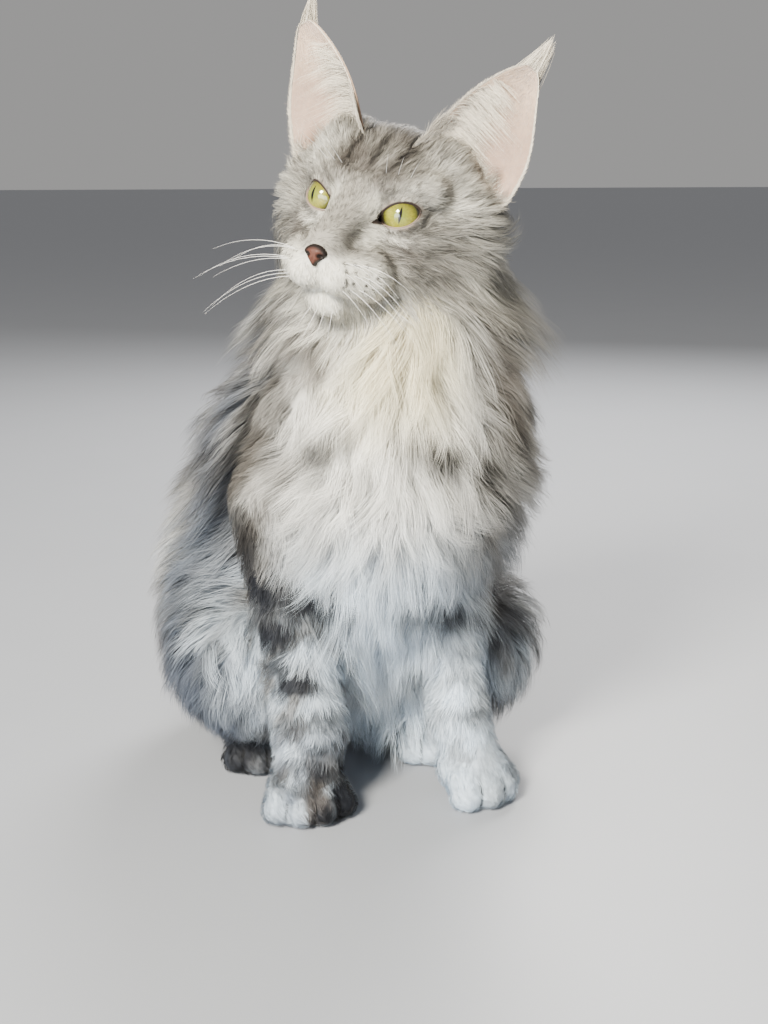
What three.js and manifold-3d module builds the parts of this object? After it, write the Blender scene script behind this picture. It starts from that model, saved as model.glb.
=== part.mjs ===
// A seated Maine Coon cat at life size, as a still museum model.
// Millimetres, +Z up. The cat faces -Y, its own left side is +X, and it sits on z = 0.
// The head is turned to its right. The group is moved at the end so that the origin is the
// middle of the footprint's box.
// The body is a set of named round masses. Each mass has the flesh's radius and the depth of
// the coat over it. A node's core is cast from the masses out to a share of that depth, and
// flat tapered locks, rooted in the core and laid along the lie of the coat, reach the tips.
import * as THREE from "three";
import { mergeVertices } from "three/addons/utils/BufferGeometryUtils.js";
import Module from "manifold-3d";

const wasm = await Module();
wasm.setup();

// Driving dimensions
const headCentre = [4, -14, 339]; // middle of the skull
const headTurn = { yaw: -44, pitch: 2, roll: 12 }; // degrees: to its right, nose up, left ear down
const chestX = 15; // the ruff and chest lean a little to the cat's left
const hipX = 5; // middle of the two haunches
const eye = { x: 21.5, y: -28, z: 2, radius: 12 };
const opening = { wide: 20.5, high: 13.2, slant: 24, outward: 20 }; // the lids' opening
const ear = { inner: [21, -9, 44], outer: [60, 6, 17], tip: [66, -1, 89], cup: 13, wall: 2.6 };
const stance = {
  fore: { right: { paw: [-50, -32], turn: -4 }, left: { paw: [46, -43], turn: 16 } },
  hind: { right: { paw: [-55, 50], turn: -4 }, left: { paw: [50, 28], turn: 6 } },
};
const gap = 0.3; // air left between nodes that touch
const coreShare = 0.42; // how far out through the coat a node's core reaches
const floorAir = 0.4; // how far a lock stays off the floor
const blend = { trunk: 9, leg: 5, tail: 5, toes: 1.6, head: 2.4 }; // mm over which masses melt together

const up = new THREE.Vector3(0, 0, 1);
const vec = (p) => new THREE.Vector3(...p);
const mix = (a, b, t) => a + (b - a) * t;
const clamp01 = (t) => Math.min(1, Math.max(0, t));
const both = (make) => ({ right: make(-1, "right"), left: make(1, "left") });
const pair = (make) => [make(-1), make(1)];

// A seeded random number from 0 to 1, the same on every run.
function dice(seed) {
  let state = seed * 2654435761 + 12345;
  return () => {
    state = (Math.imul(state ^ (state >>> 15), 2246822519) + 3266489917) >>> 0;
    return ((state ^ (state >>> 13)) >>> 0) / 4294967296;
  };
}

// One round mass: a tapered capsule from one point to another. squeeze thins it along x, y, z.
function mass(from, fromRadius, to, toRadius, coat = 0, squeeze = [1, 1, 1]) {
  return { from: vec(from), to: vec(to), fromRadius, toRadius, coat, squeeze };
}

// Distance from a point to the masses, blended over k millimetres, negative inside.
function field(masses, k, share) {
  const along = new THREE.Vector3();
  const off = new THREE.Vector3();
  return (p) => {
    let sum = 0;
    for (const m of masses) {
      along.subVectors(m.to, m.from);
      off.subVectors(p, m.from);
      const t = clamp01(off.dot(along) / Math.max(along.lengthSq(), 1e-9));
      off.addScaledVector(along, -t);
      const [sx, sy, sz] = m.squeeze;
      const reach = Math.hypot(off.x / sx, off.y / sy, off.z / sz);
      const radius = mix(m.fromRadius, m.toRadius, t) + share * m.coat;
      const d = (reach - radius) * Math.min(sx, sy, sz);
      sum += Math.exp(-d / k);
    }
    return -k * Math.log(Math.max(sum, 1e-30));
  };
}

// The direction straight out of a field at a point.
function outward(f, p, step = 0.8) {
  const at = (x, y, z) => f(new THREE.Vector3(p.x + x, p.y + y, p.z + z));
  return new THREE.Vector3(
    at(step, 0, 0) - at(-step, 0, 0),
    at(0, step, 0) - at(0, -step, 0),
    at(0, 0, step) - at(0, 0, -step),
  ).normalize();
}

// A closed solid from a grid of rings: each ring is a list of points, and a point closes each end.
function skinned(rings, first, last) {
  const around = rings[0].length;
  const points = [first, ...rings.flat(), last];
  const faces = [];
  const at = (ring, j) => 1 + ring * around + (j % around);
  for (let j = 0; j < around; j += 1) {
    faces.push(0, at(0, j + 1), at(0, j));
    for (let i = 0; i + 1 < rings.length; i += 1) {
      faces.push(at(i, j), at(i, j + 1), at(i + 1, j + 1), at(i, j), at(i + 1, j + 1), at(i + 1, j));
    }
    faces.push(points.length - 1, at(rings.length - 1, j), at(rings.length - 1, j + 1));
  }
  const g = new THREE.BufferGeometry();
  g.setAttribute("position", new THREE.Float32BufferAttribute(points.flatMap((p) => [p.x, p.y, p.z]), 3));
  g.setIndex(faces);
  return g;
}

// Any closed geometry as a solid that can be joined and cut.
function solid(geometry) {
  const g = geometry.clone();
  g.deleteAttribute("normal");
  g.deleteAttribute("uv");
  const merged = mergeVertices(g, 1e-3);
  const vertProperties = new Float32Array(merged.attributes.position.array);
  const make = (triVerts) => new wasm.Manifold(new wasm.Mesh({ numProp: 3, vertProperties, triVerts }));
  const made = make(new Uint32Array(merged.index.array));
  return made.volume() > 0 ? made : make(new Uint32Array(merged.index.array).reverse());
}

// Distance along a ray from inside a field to its surface.
function cast(f, from, direction, grow) {
  const p = new THREE.Vector3();
  let reach = 0;
  for (let i = 0; i < 60; i += 1) {
    p.copy(from).addScaledVector(direction, reach);
    const d = f(p) - grow;
    if (Math.abs(d) < 0.02) break;
    reach = Math.max(0.3, reach - 0.8 * d);
  }
  return reach;
}

const floorFlat = (f) => (p) => Math.max(f(p), -p.z);

// A solid cast out from a line through a field: rings across the line, and a dome at an end
// that isn't cut flat.
function loft(f, line, shape) {
  const { rings, around, domes = [false, false], domeRings = 3, grow, side = vec([1, 0, 0]) } = shape;
  const curve = new THREE.CatmullRomCurve3(line.map(vec));
  const made = [];
  const ring = (centre, tangent, lean) => {
    const a = side.clone().addScaledVector(tangent, -side.dot(tangent)).normalize();
    const b = new THREE.Vector3().crossVectors(tangent, a);
    const out = [];
    for (let j = 0; j < around; j += 1) {
      const turn = (2 * Math.PI * j) / around;
      const d = a.clone().multiplyScalar(Math.cos(turn)).addScaledVector(b, Math.sin(turn));
      d.multiplyScalar(Math.cos(lean)).addScaledVector(tangent, Math.sin(lean));
      out.push(centre.clone().addScaledVector(d, cast(f, centre, d, grow)));
    }
    return out;
  };
  const ends = [0, 1].map((t) => ({ point: curve.getPoint(t), tangent: curve.getTangent(t) }));
  const dome = (end, sign) =>
    Array.from({ length: domeRings }, (_, i) =>
      ring(end.point, end.tangent, (sign * Math.PI * (i + 1)) / (2 * (domeRings + 1))),
    );
  if (domes[0]) made.push(...dome(ends[0], -1).reverse());
  for (let i = 0; i < rings; i += 1) {
    const t = i / (rings - 1);
    const centre = curve.getPoint(t);
    if (!domes[0] && i === 0) centre.addScaledVector(ends[0].tangent, -grow);
    if (!domes[1] && i === rings - 1) centre.addScaledVector(ends[1].tangent, grow);
    made.push(ring(centre, curve.getTangent(t), 0));
  }
  if (domes[1]) made.push(...dome(ends[1], 1));
  const cap = (end, sign, round) => {
    const d = end.tangent.clone().multiplyScalar(sign);
    return end.point.clone().addScaledVector(d, round ? cast(f, end.point, d, grow) : grow);
  };
  return skinned(made, cap(ends[0], -1, domes[0]), cap(ends[1], 1, domes[1]));
}

// A solid cast out from one point in all directions, its poles along an axis.
function ball(f, centre, { rings = 12, around = 20, pole = [0, -1, 0], crowd = 1, grow = 0 }) {
  const from = vec(centre);
  const axis = vec(pole).normalize();
  const a = new THREE.Vector3().crossVectors(axis, Math.abs(axis.z) > 0.9 ? vec([1, 0, 0]) : up).normalize();
  const b = new THREE.Vector3().crossVectors(axis, a);
  const at = (lean, turn) => {
    const d = a.clone().multiplyScalar(Math.cos(turn)).addScaledVector(b, Math.sin(turn));
    d.multiplyScalar(Math.sin(lean)).addScaledVector(axis, -Math.cos(lean));
    return from.clone().addScaledVector(d, cast(f, from, d, grow));
  };
  const made = [];
  for (let i = 1; i < rings; i += 1) {
    const lean = Math.PI * (1 - (1 - i / rings) ** crowd);
    made.push(Array.from({ length: around }, (_, j) => at(lean, (2 * Math.PI * j) / around)));
  }
  return skinned(made, at(0, 0), at(Math.PI, 0));
}

// A flat tapered lock through four points: it widens from its root, is widest a third along, and
// runs out to its tip. It is flat below, with a low ridge along the middle. A grown lock gains
// most in width, so that its thin edges still hold the plain one's.
function lockAlong(path, outs, width, thick, grow) {
  const rings = [1, 2].map((i) => {
    const share = i === 1 ? 1 : 0.78;
    const tangent = path[i + 1].clone().sub(path[i - 1]).normalize();
    const across = new THREE.Vector3().crossVectors(tangent, outs[i]).normalize();
    const over = new THREE.Vector3().crossVectors(across, tangent).normalize();
    const half = (width * share) / 2 + grow * 8;
    const high = thick * share * 0.65 + grow * 2;
    const low = -thick * share * 0.35 - grow * 1.2;
    return [
      path[i].clone().addScaledVector(across, half).addScaledVector(over, low),
      path[i].clone().addScaledVector(over, high),
      path[i].clone().addScaledVector(across, -half).addScaledVector(over, low),
    ];
  });
  const beyond = (tip, from) => tip.clone().addScaledVector(tip.clone().sub(from).normalize(), grow * 4);
  return skinned(rings, beyond(path[0], path[1]), beyond(path[3], path[2]));
}

// Walks a lock over the body from its root: lie gives the direction that the coat lies in, and
// rise the height of the tip over the core. Returns the solid.
function lock(f, root, lie, { length, width, thick = 4.5, rise, sink = 6, grow = 0, floor = floorAir }) {
  const heights = [-sink, rise * 0.42, rise * 0.8, rise];
  const path = [];
  const outs = [];
  const p = root.clone();
  heights.forEach((height, i) => {
    if (i > 0) {
      const out = outward(f, p);
      const d = lie(p).clone();
      d.addScaledVector(out, -d.dot(out)).normalize();
      p.addScaledVector(d, length / 3);
    }
    const out = outward(f, p);
    p.addScaledVector(out, height - f(p));
    p.z = Math.max(p.z, floor + thick);
    path.push(p.clone());
    outs.push(out);
  });
  const made = solid(lockAlong(path, outs, width, thick, grow));
  return made.boundingBox().min[2] < floor ? made.trimByPlane([0, 0, 1], floor) : made;
}

const joined = (pieces) => wasm.Manifold.union(pieces);

// The largest closed body of a solid, without the scraps that cuts leave.
const largest = (made) => made.decompose().sort((a, b) => b.volume() - a.volume())[0];

// The masses. Radii are of the flesh, and the last number is the coat's depth.
const trunkMasses = {
  neck: mass([12, 4, 322], 40, [chestX, -4, 262], 45, 31),
  breast: mass([chestX, -8, 262], 45, [14, -14, 205], 54, 29),
  brisket: mass([12, -12, 205], 50, [3, -6, 150], 37, 29),
  withers: mass([11, 20, 264], 43, [5, 70, 195], 56, 25),
  loin: mass([5, 70, 195], 56, [2, 98, 130], 64, 28),
  belly: mass([4, 22, 140], 46, [2, 66, 88], 56, 24),
  croup: mass([2, 98, 130], 64, [2, 116, 67], 62, 27),
  shoulderRight: mass([-24, 0, 222], 32, [-40, 4, 160], 24, 10),
  shoulderLeft: mass([50, -4, 222], 34, [52, 4, 162], 25, 9),
};

const thighMasses = both((s) => [
  mass([hipX + s * 48, 104, 94], 46, [hipX + s * 72, 40, 76], 33, 22),
  mass([hipX + s * 66, 44, 52], 26, [hipX + s * 62, 122, 40], 26, 14),
]);

const legX = { right: [-53, -46, -44], left: [54, 50, 47] }; // elbow, middle and wrist
const foreleg = both((s, side) => {
  const [elbow, middle, wrist] = legX[side];
  const [pawX, pawY] = stance.fore[side].paw;
  return [
    mass([elbow, 4, 178], 27, [middle, -4, 104], 21.5, 4),
    mass([middle, -4, 104], 21.5, [wrist, pawY + 12, 46], 17.5, 4),
    mass([wrist, pawY + 12, 46], 17.5, [pawX, pawY + 4, 20], 15, 3),
  ];
});

// A foot: its body and four toes in an arc, turned about the vertical.
function footMasses([x, y], turn, back, toeRadius, spread) {
  const a = THREE.MathUtils.degToRad(turn);
  const [c, d] = [Math.cos(a), Math.sin(a)];
  const place = (u, v, z) => [x + u * c - v * d, y + u * d + v * c, z];
  const toes = [-1.5, -0.5, 0.5, 1.5].map((n) => {
    const front = 11 - 4.4 * Math.abs(n) ** 1.6;
    const knuckle = place(n * spread * 0.82, 1 - front * 0.35, toeRadius + 5);
    return mass(knuckle, toeRadius * 0.95, place(n * spread, -front - 2, toeRadius - 0.8), toeRadius, 1);
  });
  return [mass(place(0, back, 17), 14, place(0, 2, 13), 14, 1.5, [1.25, 1, 0.95]), ...toes];
}

const feet = {
  fore: both((_, side) => footMasses(stance.fore[side].paw, stance.fore[side].turn, 8, 8.4, 12)),
  hind: both((_, side) => footMasses(stance.hind[side].paw, stance.hind[side].turn, 10, 8, 10.6)),
};
const heelAt = both((s, side) => [hipX + s * 58, stance.hind[side].paw[1] + 88]);
const shank = both((_, side) => {
  const [x, y] = stance.hind[side].paw;
  return mass([x, y + 14, 14], 13, [...heelAt[side], 16], 12, 3);
});

// The tail lies on the floor behind the cat and hooks to its left.
const tailLine = [
  [0, 150, 48], [-5, 196, 33], [-6, 245, 27], [20, 286, 26], [68, 300, 26],
  [116, 283, 25], [149, 243, 21], [163, 200, 14],
];
const tailRadius = [24, 16, 13, 12, 11, 10, 8, 4];
const tailCoat = [20, 22, 26, 27, 27, 25, 20, 12];
const tailMasses = tailLine.slice(1).map((to, i) =>
  mass(tailLine[i], tailRadius[i], to, tailRadius[i + 1], mix(tailCoat[i], tailCoat[i + 1], 0.5)),
);

// The head, in its own axes: -y to the nose, +x to its left ear, origin in the skull.
const headMasses = [
  mass([0, 4, 10], 31, [0, 13, 5], 32, 2, [1.2, 1.08, 1.02]), // skull
  mass([0, -16, 14], 18, [0, -4, 21], 19, 2, [1.7, 1, 1]), // forehead
  mass([0, -34, 8], 10, [0, -66, -15], 6.5, 1, [1.2, 1, 1]), // bridge of the nose
  mass([0, -66, -20], 7, [0, -70, -22], 6.5, 1, [1.2, 1, 1]), // end of the nose
  mass([0, -34, -15], 19, [0, -54, -25], 12.5, 1, [1.1, 1, 1]), // muzzle
  mass([0, -55, -49], 8, [0, -26, -38], 16, 2, [1.35, 1, 1]), // chin and lower jaw
  ...pair((s) => mass([s * 8.6, -65, -32], 9.3, [s * 17.5, -49, -30], 12.8, 1.5)), // whisker pads
  ...pair((s) => mass([s * 22, -20, -24], 17, [s * 33, 8, -16], 22, 5)), // cheeks
  ...pair((s) => mass([s * 28, -22, -9], 11, [s * 36, 2, 0], 15, 2)), // cheekbones
  ...pair((s) => mass([s * 13, -36, 15], 7, [s * 31, -20, 17], 8.5, 1.5)), // brows
  ...pair((s) => mass([s * 28, 0, 29], 14, [s * 47, 6, 7], 13, 3)), // roots of the ears
];

const headPlace = new THREE.Matrix4()
  .makeRotationZ(THREE.MathUtils.degToRad(headTurn.yaw))
  .multiply(new THREE.Matrix4().makeRotationX(THREE.MathUtils.degToRad(-headTurn.pitch)))
  .multiply(new THREE.Matrix4().makeRotationY(THREE.MathUtils.degToRad(headTurn.roll)))
  .setPosition(...headCentre);
const headInverse = headPlace.clone().invert();
const placeHead = (made) => made.transform(headPlace.elements);

// Fields at the core's depth.
const trunkField = field(Object.values(trunkMasses), blend.trunk, coreShare);
const bodyMasses = [...Object.values(trunkMasses), ...thighMasses.right, ...thighMasses.left];
const bodyField = field(bodyMasses, blend.trunk, coreShare);
const thighField = both((_, side) => field(thighMasses[side], blend.trunk, coreShare));
const foreField = both((_, side) => field(foreleg[side], blend.leg, 1));
const tailField = field(tailMasses, blend.tail, coreShare);
const headField = field(headMasses, blend.head, 1);
const headHere = (p) => headField(p.clone().applyMatrix4(headInverse));

// The coat's depth at a point, from the masses nearest to it.
function coatAt(list, p) {
  const weights = list.map((m) => Math.exp(-field([m], 1, 0)(p) / blend.trunk));
  const total = weights.reduce((sum, weight) => sum + weight, 0);
  return list.reduce((sum, m, i) => sum + m.coat * weights[i], 0) / total;
}

// The trunk is cast whole and parted by planes: a point on each and the way to its far side.
const trunkLine = [[12, 4, 322], [2, 114, 66]];
const partings = {
  throat: { at: [7, 0, 270], way: [0, 0.25, -1] }, // neck above, chest and back below
  girth: { at: [0, 26, 200], way: [0, 1, 0.12] }, // chest in front, back behind
  waist: { at: [0, 92, 112], way: [0, 0.72, -0.69] }, // back above, rump below
};

function parted(made, { at, way }, keepFar, grow) {
  const normal = vec(way).normalize();
  const offset = normal.dot(vec(at));
  const sign = keepFar ? 1 : -1;
  const n = normal.multiplyScalar(sign);
  return made.trimByPlane([n.x, n.y, n.z], sign * offset - grow);
}
const isFar = (p, { at, way }) => p.clone().sub(vec(at)).dot(vec(way)) > 0;

function trunkPart(name, grow) {
  const shape = { rings: 14, around: 20, domes: [true, true], grow };
  const whole = solid(loft(floorFlat(trunkField), trunkLine, shape));
  const { throat, girth, waist } = partings;
  if (name === "neck") return parted(whole, throat, false, grow);
  const below = parted(whole, throat, true, grow);
  if (name === "chest") return parted(below, girth, false, grow);
  const behind = parted(below, girth, true, grow);
  return parted(behind, waist, name === "rump", grow);
}
const trunkPartAt = (p) => {
  if (!isFar(p, partings.throat)) return "neck";
  if (!isFar(p, partings.girth)) return "chest";
  return isFar(p, partings.waist) ? "rump" : "back";
};

// Roots for locks, spread evenly over the surface of a field, no two nearer than the spacing.
function rootsOn(f, line, { from = 0, to = 1, spacing, seed, tries = 3000 }) {
  const curve = new THREE.CatmullRomCurve3(line.map(vec));
  const random = dice(seed);
  const roots = [];
  for (let i = 0; i < tries; i += 1) {
    const t = mix(from, to, clamp01(1.2 * random() - 0.1));
    const centre = curve.getPointAt(t);
    const tangent = curve.getTangentAt(t);
    const a = new THREE.Vector3().crossVectors(tangent, vec([1, 0.1, 0.2])).normalize();
    const b = new THREE.Vector3().crossVectors(tangent, a);
    const turn = 2 * Math.PI * random();
    const pastEnd = t === from ? -1 : t === to ? 1 : 0;
    const tilt = (pastEnd * Math.PI * random()) / 2;
    const d = a.multiplyScalar(Math.cos(turn)).addScaledVector(b, Math.sin(turn));
    d.multiplyScalar(Math.cos(tilt)).addScaledVector(tangent, Math.sin(tilt));
    const at = centre.addScaledVector(d, cast(f, centre, d, 0));
    if (roots.every((root) => root.at.distanceTo(at) > spacing)) roots.push({ at, t });
  }
  return roots;
}

// The way the coat lies: down the breast and sides, and back along the spine to the rump.
function lieTrunk(p) {
  const toRear = THREE.MathUtils.smoothstep(p.y, -30, 90);
  const d = new THREE.Vector3(0, 0.62 * toRear, -1);
  const collar = THREE.MathUtils.smoothstep(p.z, 235, 310);
  d.x += 0.5 * collar * Math.sign(p.x - chestX) * Math.min(1, Math.abs(p.x - chestX) / 40);
  return d;
}
const lieThigh = () => new THREE.Vector3(0, 0.5, -1);

// Locks of the trunk by node. Those whose roots other parts hide are left out.
function trunkLocks(grow) {
  const made = { neck: [], chest: [], back: [], rump: [] };
  const random = dice(7);
  const list = Object.values(trunkMasses);
  const roots = rootsOn(trunkField, trunkLine, { spacing: 31, seed: 3 });
  for (const { at } of roots) {
    const size = 0.85 + 0.3 * random();
    if (at.z < 26 || headHere(at) < -15) continue;
    if (thighField.right(at) < 3 || thighField.left(at) < 3) continue;
    if (foreField.right(at) < 5 || foreField.left(at) < 5) continue;
    const coat = coatAt(list, at);
    const name = trunkPartAt(at);
    const rise = coat * (1 - coreShare) * size;
    const width = (name === "neck" || name === "chest" ? 34 : 38) * size;
    made[name].push(lock(bodyField, at, lieTrunk, { length: 46 + coat * size, width, rise, grow }));
  }
  return made;
}

function thighLocks(side, grow) {
  const s = side === "left" ? 1 : -1;
  const random = dice(11 + s);
  const line = [[hipX + s * 50, 100, 84], [hipX + s * 70, 42, 68]];
  const roots = rootsOn(thighField[side], line, { spacing: 36, seed: 5 });
  return roots
    .filter(({ at }) => trunkField(at) > 6 && at.z > 24 && s * at.x > 40)
    .map(({ at }) => {
      const size = 0.85 + 0.3 * random();
      return lock(bodyField, at, lieThigh, { length: 60 * size, width: 37 * size, rise: 13 * size, grow });
    });
}

// The tail's locks run to its tip and stand a little off it.
const tailCurve = new THREE.CatmullRomCurve3(tailLine.map(vec));
const tailCuts = [0.37, 0.7];
function tailWay(p) {
  let best = 0;
  let near = Infinity;
  for (let i = 0; i <= 60; i += 1) {
    const d = tailCurve.getPointAt(i / 60).distanceTo(p);
    if (d < near) [near, best] = [d, i / 60];
  }
  return { t: best, tangent: tailCurve.getTangentAt(best) };
}
const lieTail = (p) => tailWay(p).tangent;
function tailLocks(grow) {
  const made = [[], [], []];
  const random = dice(23);
  const roots = rootsOn(tailField, tailLine, { from: 0.12, to: 0.96, spacing: 27, seed: 9 });
  for (const { at, t } of roots) {
    const size = 0.85 + 0.3 * random();
    if (at.z < 14) continue;
    const part = t < tailCuts[0] ? 0 : t < tailCuts[1] ? 1 : 2;
    const rise = 15 * size * (t > 0.9 ? 0.5 : 1);
    const shape = { length: 56 * size, width: 26 * size, thick: 4, rise, grow };
    made[part].push(lock(tailField, at, lieTail, shape));
  }
  return made;
}

function tailPart(index, grow) {
  const line = tailCurve.getSpacedPoints(24).map((p) => p.toArray());
  const shape = { rings: 16, around: 8, domes: [false, true], side: up, grow };
  const whole = solid(loft(floorFlat(tailField), line, shape));
  const cut = (made, t, keepFar) => {
    const plane = { at: tailCurve.getPointAt(t).toArray(), way: tailCurve.getTangentAt(t).toArray() };
    return parted(made, plane, keepFar, grow);
  };
  // A hooked tail meets a cutting plane twice, so each length is the piece that holds its middle.
  const middle = tailCurve.getPointAt([0.2, 0.53, 0.86][index]);
  let made = whole;
  if (index > 0) made = cut(made, tailCuts[index - 1], true);
  if (index < 2) made = cut(made, tailCuts[index], false);
  const holds = (b) => {
    const { min, max } = b.boundingBox();
    return min.every((low, k) => low <= middle.getComponent(k) && middle.getComponent(k) <= max[k]);
  };
  return made.decompose().find(holds);
}

// Legs and feet
const ankleZ = 38; // where a foreleg is parted from its paw
function forelegPart(side, grow) {
  const [elbow, middle, wrist] = legX[side];
  const pawY = stance.fore[side].paw[1];
  const line = [[elbow, 5, 172], [middle, -2, 104], [wrist, pawY + 12, 46], [wrist, pawY + 10, 32]];
  const made = solid(loft(foreField[side], line, { rings: 8, around: 14, grow }));
  return made.trimByPlane([0, 0, 1], ankleZ - grow);
}
function forepawPart(side, grow) {
  const [x, y] = stance.fore[side].paw;
  const f = floorFlat(field([...feet.fore[side], ...foreleg[side].slice(1)], blend.toes, 1));
  const made = solid(ball(f, [x, y + 1, 14], { rings: 12, around: 20, pole: [0, 0, 1], grow }));
  return made.trimByPlane([0, 0, -1], -ankleZ - grow);
}
function hindfootPart(side, grow) {
  const [x, y] = stance.hind[side].paw;
  const heel = heelAt[side];
  const f = floorFlat(field([...feet.hind[side], shank[side]], blend.toes, 1));
  const toes = solid(ball(f, [x, y + 1, 12], { rings: 9, around: 16, pole: [0, 0, 1], grow }));
  const line = [[x, y + 4, 12], [(x + heel[0]) / 2, y + 50, 13], [heel[0], y + 88, 14]];
  const shape = { rings: 4, around: 10, domes: [false, true], domeRings: 1, side: up, grow };
  return joined([toes, solid(loft(f, line, shape))]);
}
function thighPart(side, grow) {
  const s = side === "left" ? 1 : -1;
  const line = [[hipX + s * 50, 108, 82], [hipX + s * 70, 42, 66]];
  const shape = { rings: 5, around: 14, domes: [true, true], side: up, grow };
  return solid(loft(floorFlat(thighField[side]), line, shape));
}

// The head
const eyeAt = (s) => vec([s * eye.x, eye.y, eye.z]);
function eyeFrame(s) {
  const turn = THREE.MathUtils.degToRad(opening.outward) * s;
  const out = new THREE.Vector3(Math.sin(turn), -Math.cos(turn), 0.06).normalize();
  const slant = THREE.MathUtils.degToRad(opening.slant);
  const across = new THREE.Vector3().crossVectors(out, up).normalize().negate();
  const high = new THREE.Vector3().crossVectors(across, out).normalize();
  if (high.z < 0) high.negate();
  const outerWay = across.clone().multiplyScalar(across.x * s > 0 ? 1 : -1);
  const long = outerWay.clone().multiplyScalar(Math.cos(slant)).addScaledVector(high, Math.sin(slant));
  const short = new THREE.Vector3().crossVectors(long, out).normalize();
  if (short.z < 0) short.negate();
  return { out, long, short };
}

// The eyeball with its cornea, turned on the axis of sight.
function eyeball(s, grow) {
  const cornea = { radius: 9.2, ahead: 3.6 };
  const profile = [];
  const steps = 8;
  for (let i = 0; i <= steps; i += 1) {
    const a = (Math.PI * i) / steps;
    const direction = new THREE.Vector2(Math.sin(a), Math.cos(a));
    const aside = cornea.ahead * direction.x;
    const toCornea = cornea.ahead * direction.y + Math.sqrt(Math.max(0, cornea.radius ** 2 - aside ** 2));
    const r = (direction.y > 0 ? Math.max(eye.radius, toCornea) : eye.radius) + grow;
    profile.push(new THREE.Vector2(i === 0 || i === steps ? 0 : r * direction.x, r * direction.y));
  }
  const g = new THREE.LatheGeometry(profile.reverse(), 14);
  const { out } = eyeFrame(s);
  g.applyQuaternion(new THREE.Quaternion().setFromUnitVectors(vec([0, 1, 0]), out));
  g.translate(...eyeAt(s).toArray());
  return solid(g);
}

// The prism that opens the lids: an almond whose inner corner is drawn out to the nose.
function lidsOpening(s) {
  const { out, long, short } = eyeFrame(s);
  const sides = 14;
  const outline = Array.from({ length: sides }, (_, i) => {
    const a = (2 * Math.PI * i) / sides;
    const inner = Math.cos(a) < 0 ? 1.12 : 1;
    const u = (opening.wide / 2) * Math.cos(a) * inner;
    const v = (opening.high / 2) * Math.sign(Math.sin(a)) * Math.abs(Math.sin(a)) ** 1.25;
    return [u, v];
  });
  const ring = (depth) => outline.map(([u, v]) =>
    eyeAt(s).addScaledVector(out, depth).addScaledVector(long, u).addScaledVector(short, v));
  const [near, far] = [ring(3), ring(24)];
  return solid(skinned([near, far], eyeAt(s).addScaledVector(out, 3), eyeAt(s).addScaledVector(out, 24)));
}

// A round-sided cutter or ridge along points laid on the head's surface at a depth.
function seam(points, radius, depth, sides = 4) {
  const onSkin = points.map((q) => {
    const p = vec(q);
    const out = outward(headField, p);
    return p.addScaledVector(out, -headField(p) - depth);
  });
  const curve = new THREE.CatmullRomCurve3(onSkin);
  const steps = points.length + 1;
  const rings = [];
  for (let i = 0; i <= steps; i += 1) {
    const at = curve.getPointAt(i / steps);
    const tangent = curve.getTangentAt(i / steps);
    const a = new THREE.Vector3().crossVectors(tangent, outward(headField, at)).normalize();
    const b = new THREE.Vector3().crossVectors(tangent, a);
    const r = radius * (0.55 + 0.45 * Math.sin((Math.PI * i) / steps));
    rings.push(Array.from({ length: sides }, (_, j) => {
      const turn = (2 * Math.PI * j) / sides;
      return at.clone().addScaledVector(a, r * Math.cos(turn)).addScaledVector(b, r * Math.sin(turn));
    }));
  }
  return solid(skinned(rings, curve.getPointAt(0), curve.getPointAt(1)));
}

function roundAt([x, y, z], [rx, ry, rz], segments = 14) {
  const g = new THREE.SphereGeometry(1, segments, Math.round(segments * 0.7));
  g.scale(rx, ry, rz);
  g.translate(x, y, z);
  return solid(g);
}

// The ruff's upper row is rooted on the head: from below each ear down the cheek, and along the
// jaw to the chin. Its locks lie over the head and the neck as one surface.
const overNeck = (p) => Math.min(headField(p), bodyField(p.clone().applyMatrix4(headPlace)));
function ruffLocks(grow) {
  const random = dice(31);
  const made = [];
  const add = (from, way, lie, length, width, rise) => {
    const root = from.addScaledVector(way, cast(headField, from, way, 0));
    const size = 0.9 + 0.2 * random();
    const shape = { length: length * size, width: width * size, thick: 3.8, rise, sink: 5, floor: -200 };
    made.push(lock(overNeck, root, () => lie, { ...shape, grow }));
  };
  for (const s of [-1, 1]) {
    for (let i = 0; i < 6; i += 1) {
      const a = THREE.MathUtils.degToRad(mix(28, -50, i / 5));
      const way = vec([s * Math.cos(a), -0.1, Math.sin(a)]).normalize();
      add(vec([s * 12, 2 - 6 * (i % 2), -8]), way, vec([s * 0.55, 0.4, -0.9]), 38, 21, 11);
    }
    for (let i = 0; i < 4; i += 1) {
      const way = vec([s * (0.14 + 0.28 * i), 0, -1]).normalize();
      add(vec([s * (3 + 4 * i), -38 + 11 * i, -32]), way, vec([s * 0.2, 0.25, -1]), 58, 25, 13);
    }
  }
  return made;
}

function headPart(grow) {
  const skull = solid(ball(headField, [0, -8, -3], { rings: 24, around: 32, crowd: 1.4, grow }));
  const pieces = [skull];
  if (grow === 0) {
    pieces.push(...[-1, 1].map((s) => roundAt(eyeAt(s).toArray(), Array(3).fill(eye.radius + 1.7), 14)));
    pieces.push(roundAt([0, -76.2, -22.8], [6.6, 4, 4.6], 12));
  }
  let made = joined([...pieces, ...ruffLocks(grow)]);
  if (grow > 0) return made;
  for (const s of [-1, 1]) {
    made = made.subtract(lidsOpening(s)).subtract(eyeball(s, gap));
    const lips = [[0, -68, -40], [s * 8, -65, -44], [s * 16, -55, -45], [s * 23, -42, -40]];
    made = made.subtract(seam(lips, 2.6, 0));
    made = made.subtract(roundAt([s * 3.9, -80, -23.4], [1.8, 3, 1.3], 8));
  }
  made = made.subtract(seam([[0, -77, -28], [0, -74, -34], [0, -69, -41]], 1.8, 0));
  return made;
}

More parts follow.
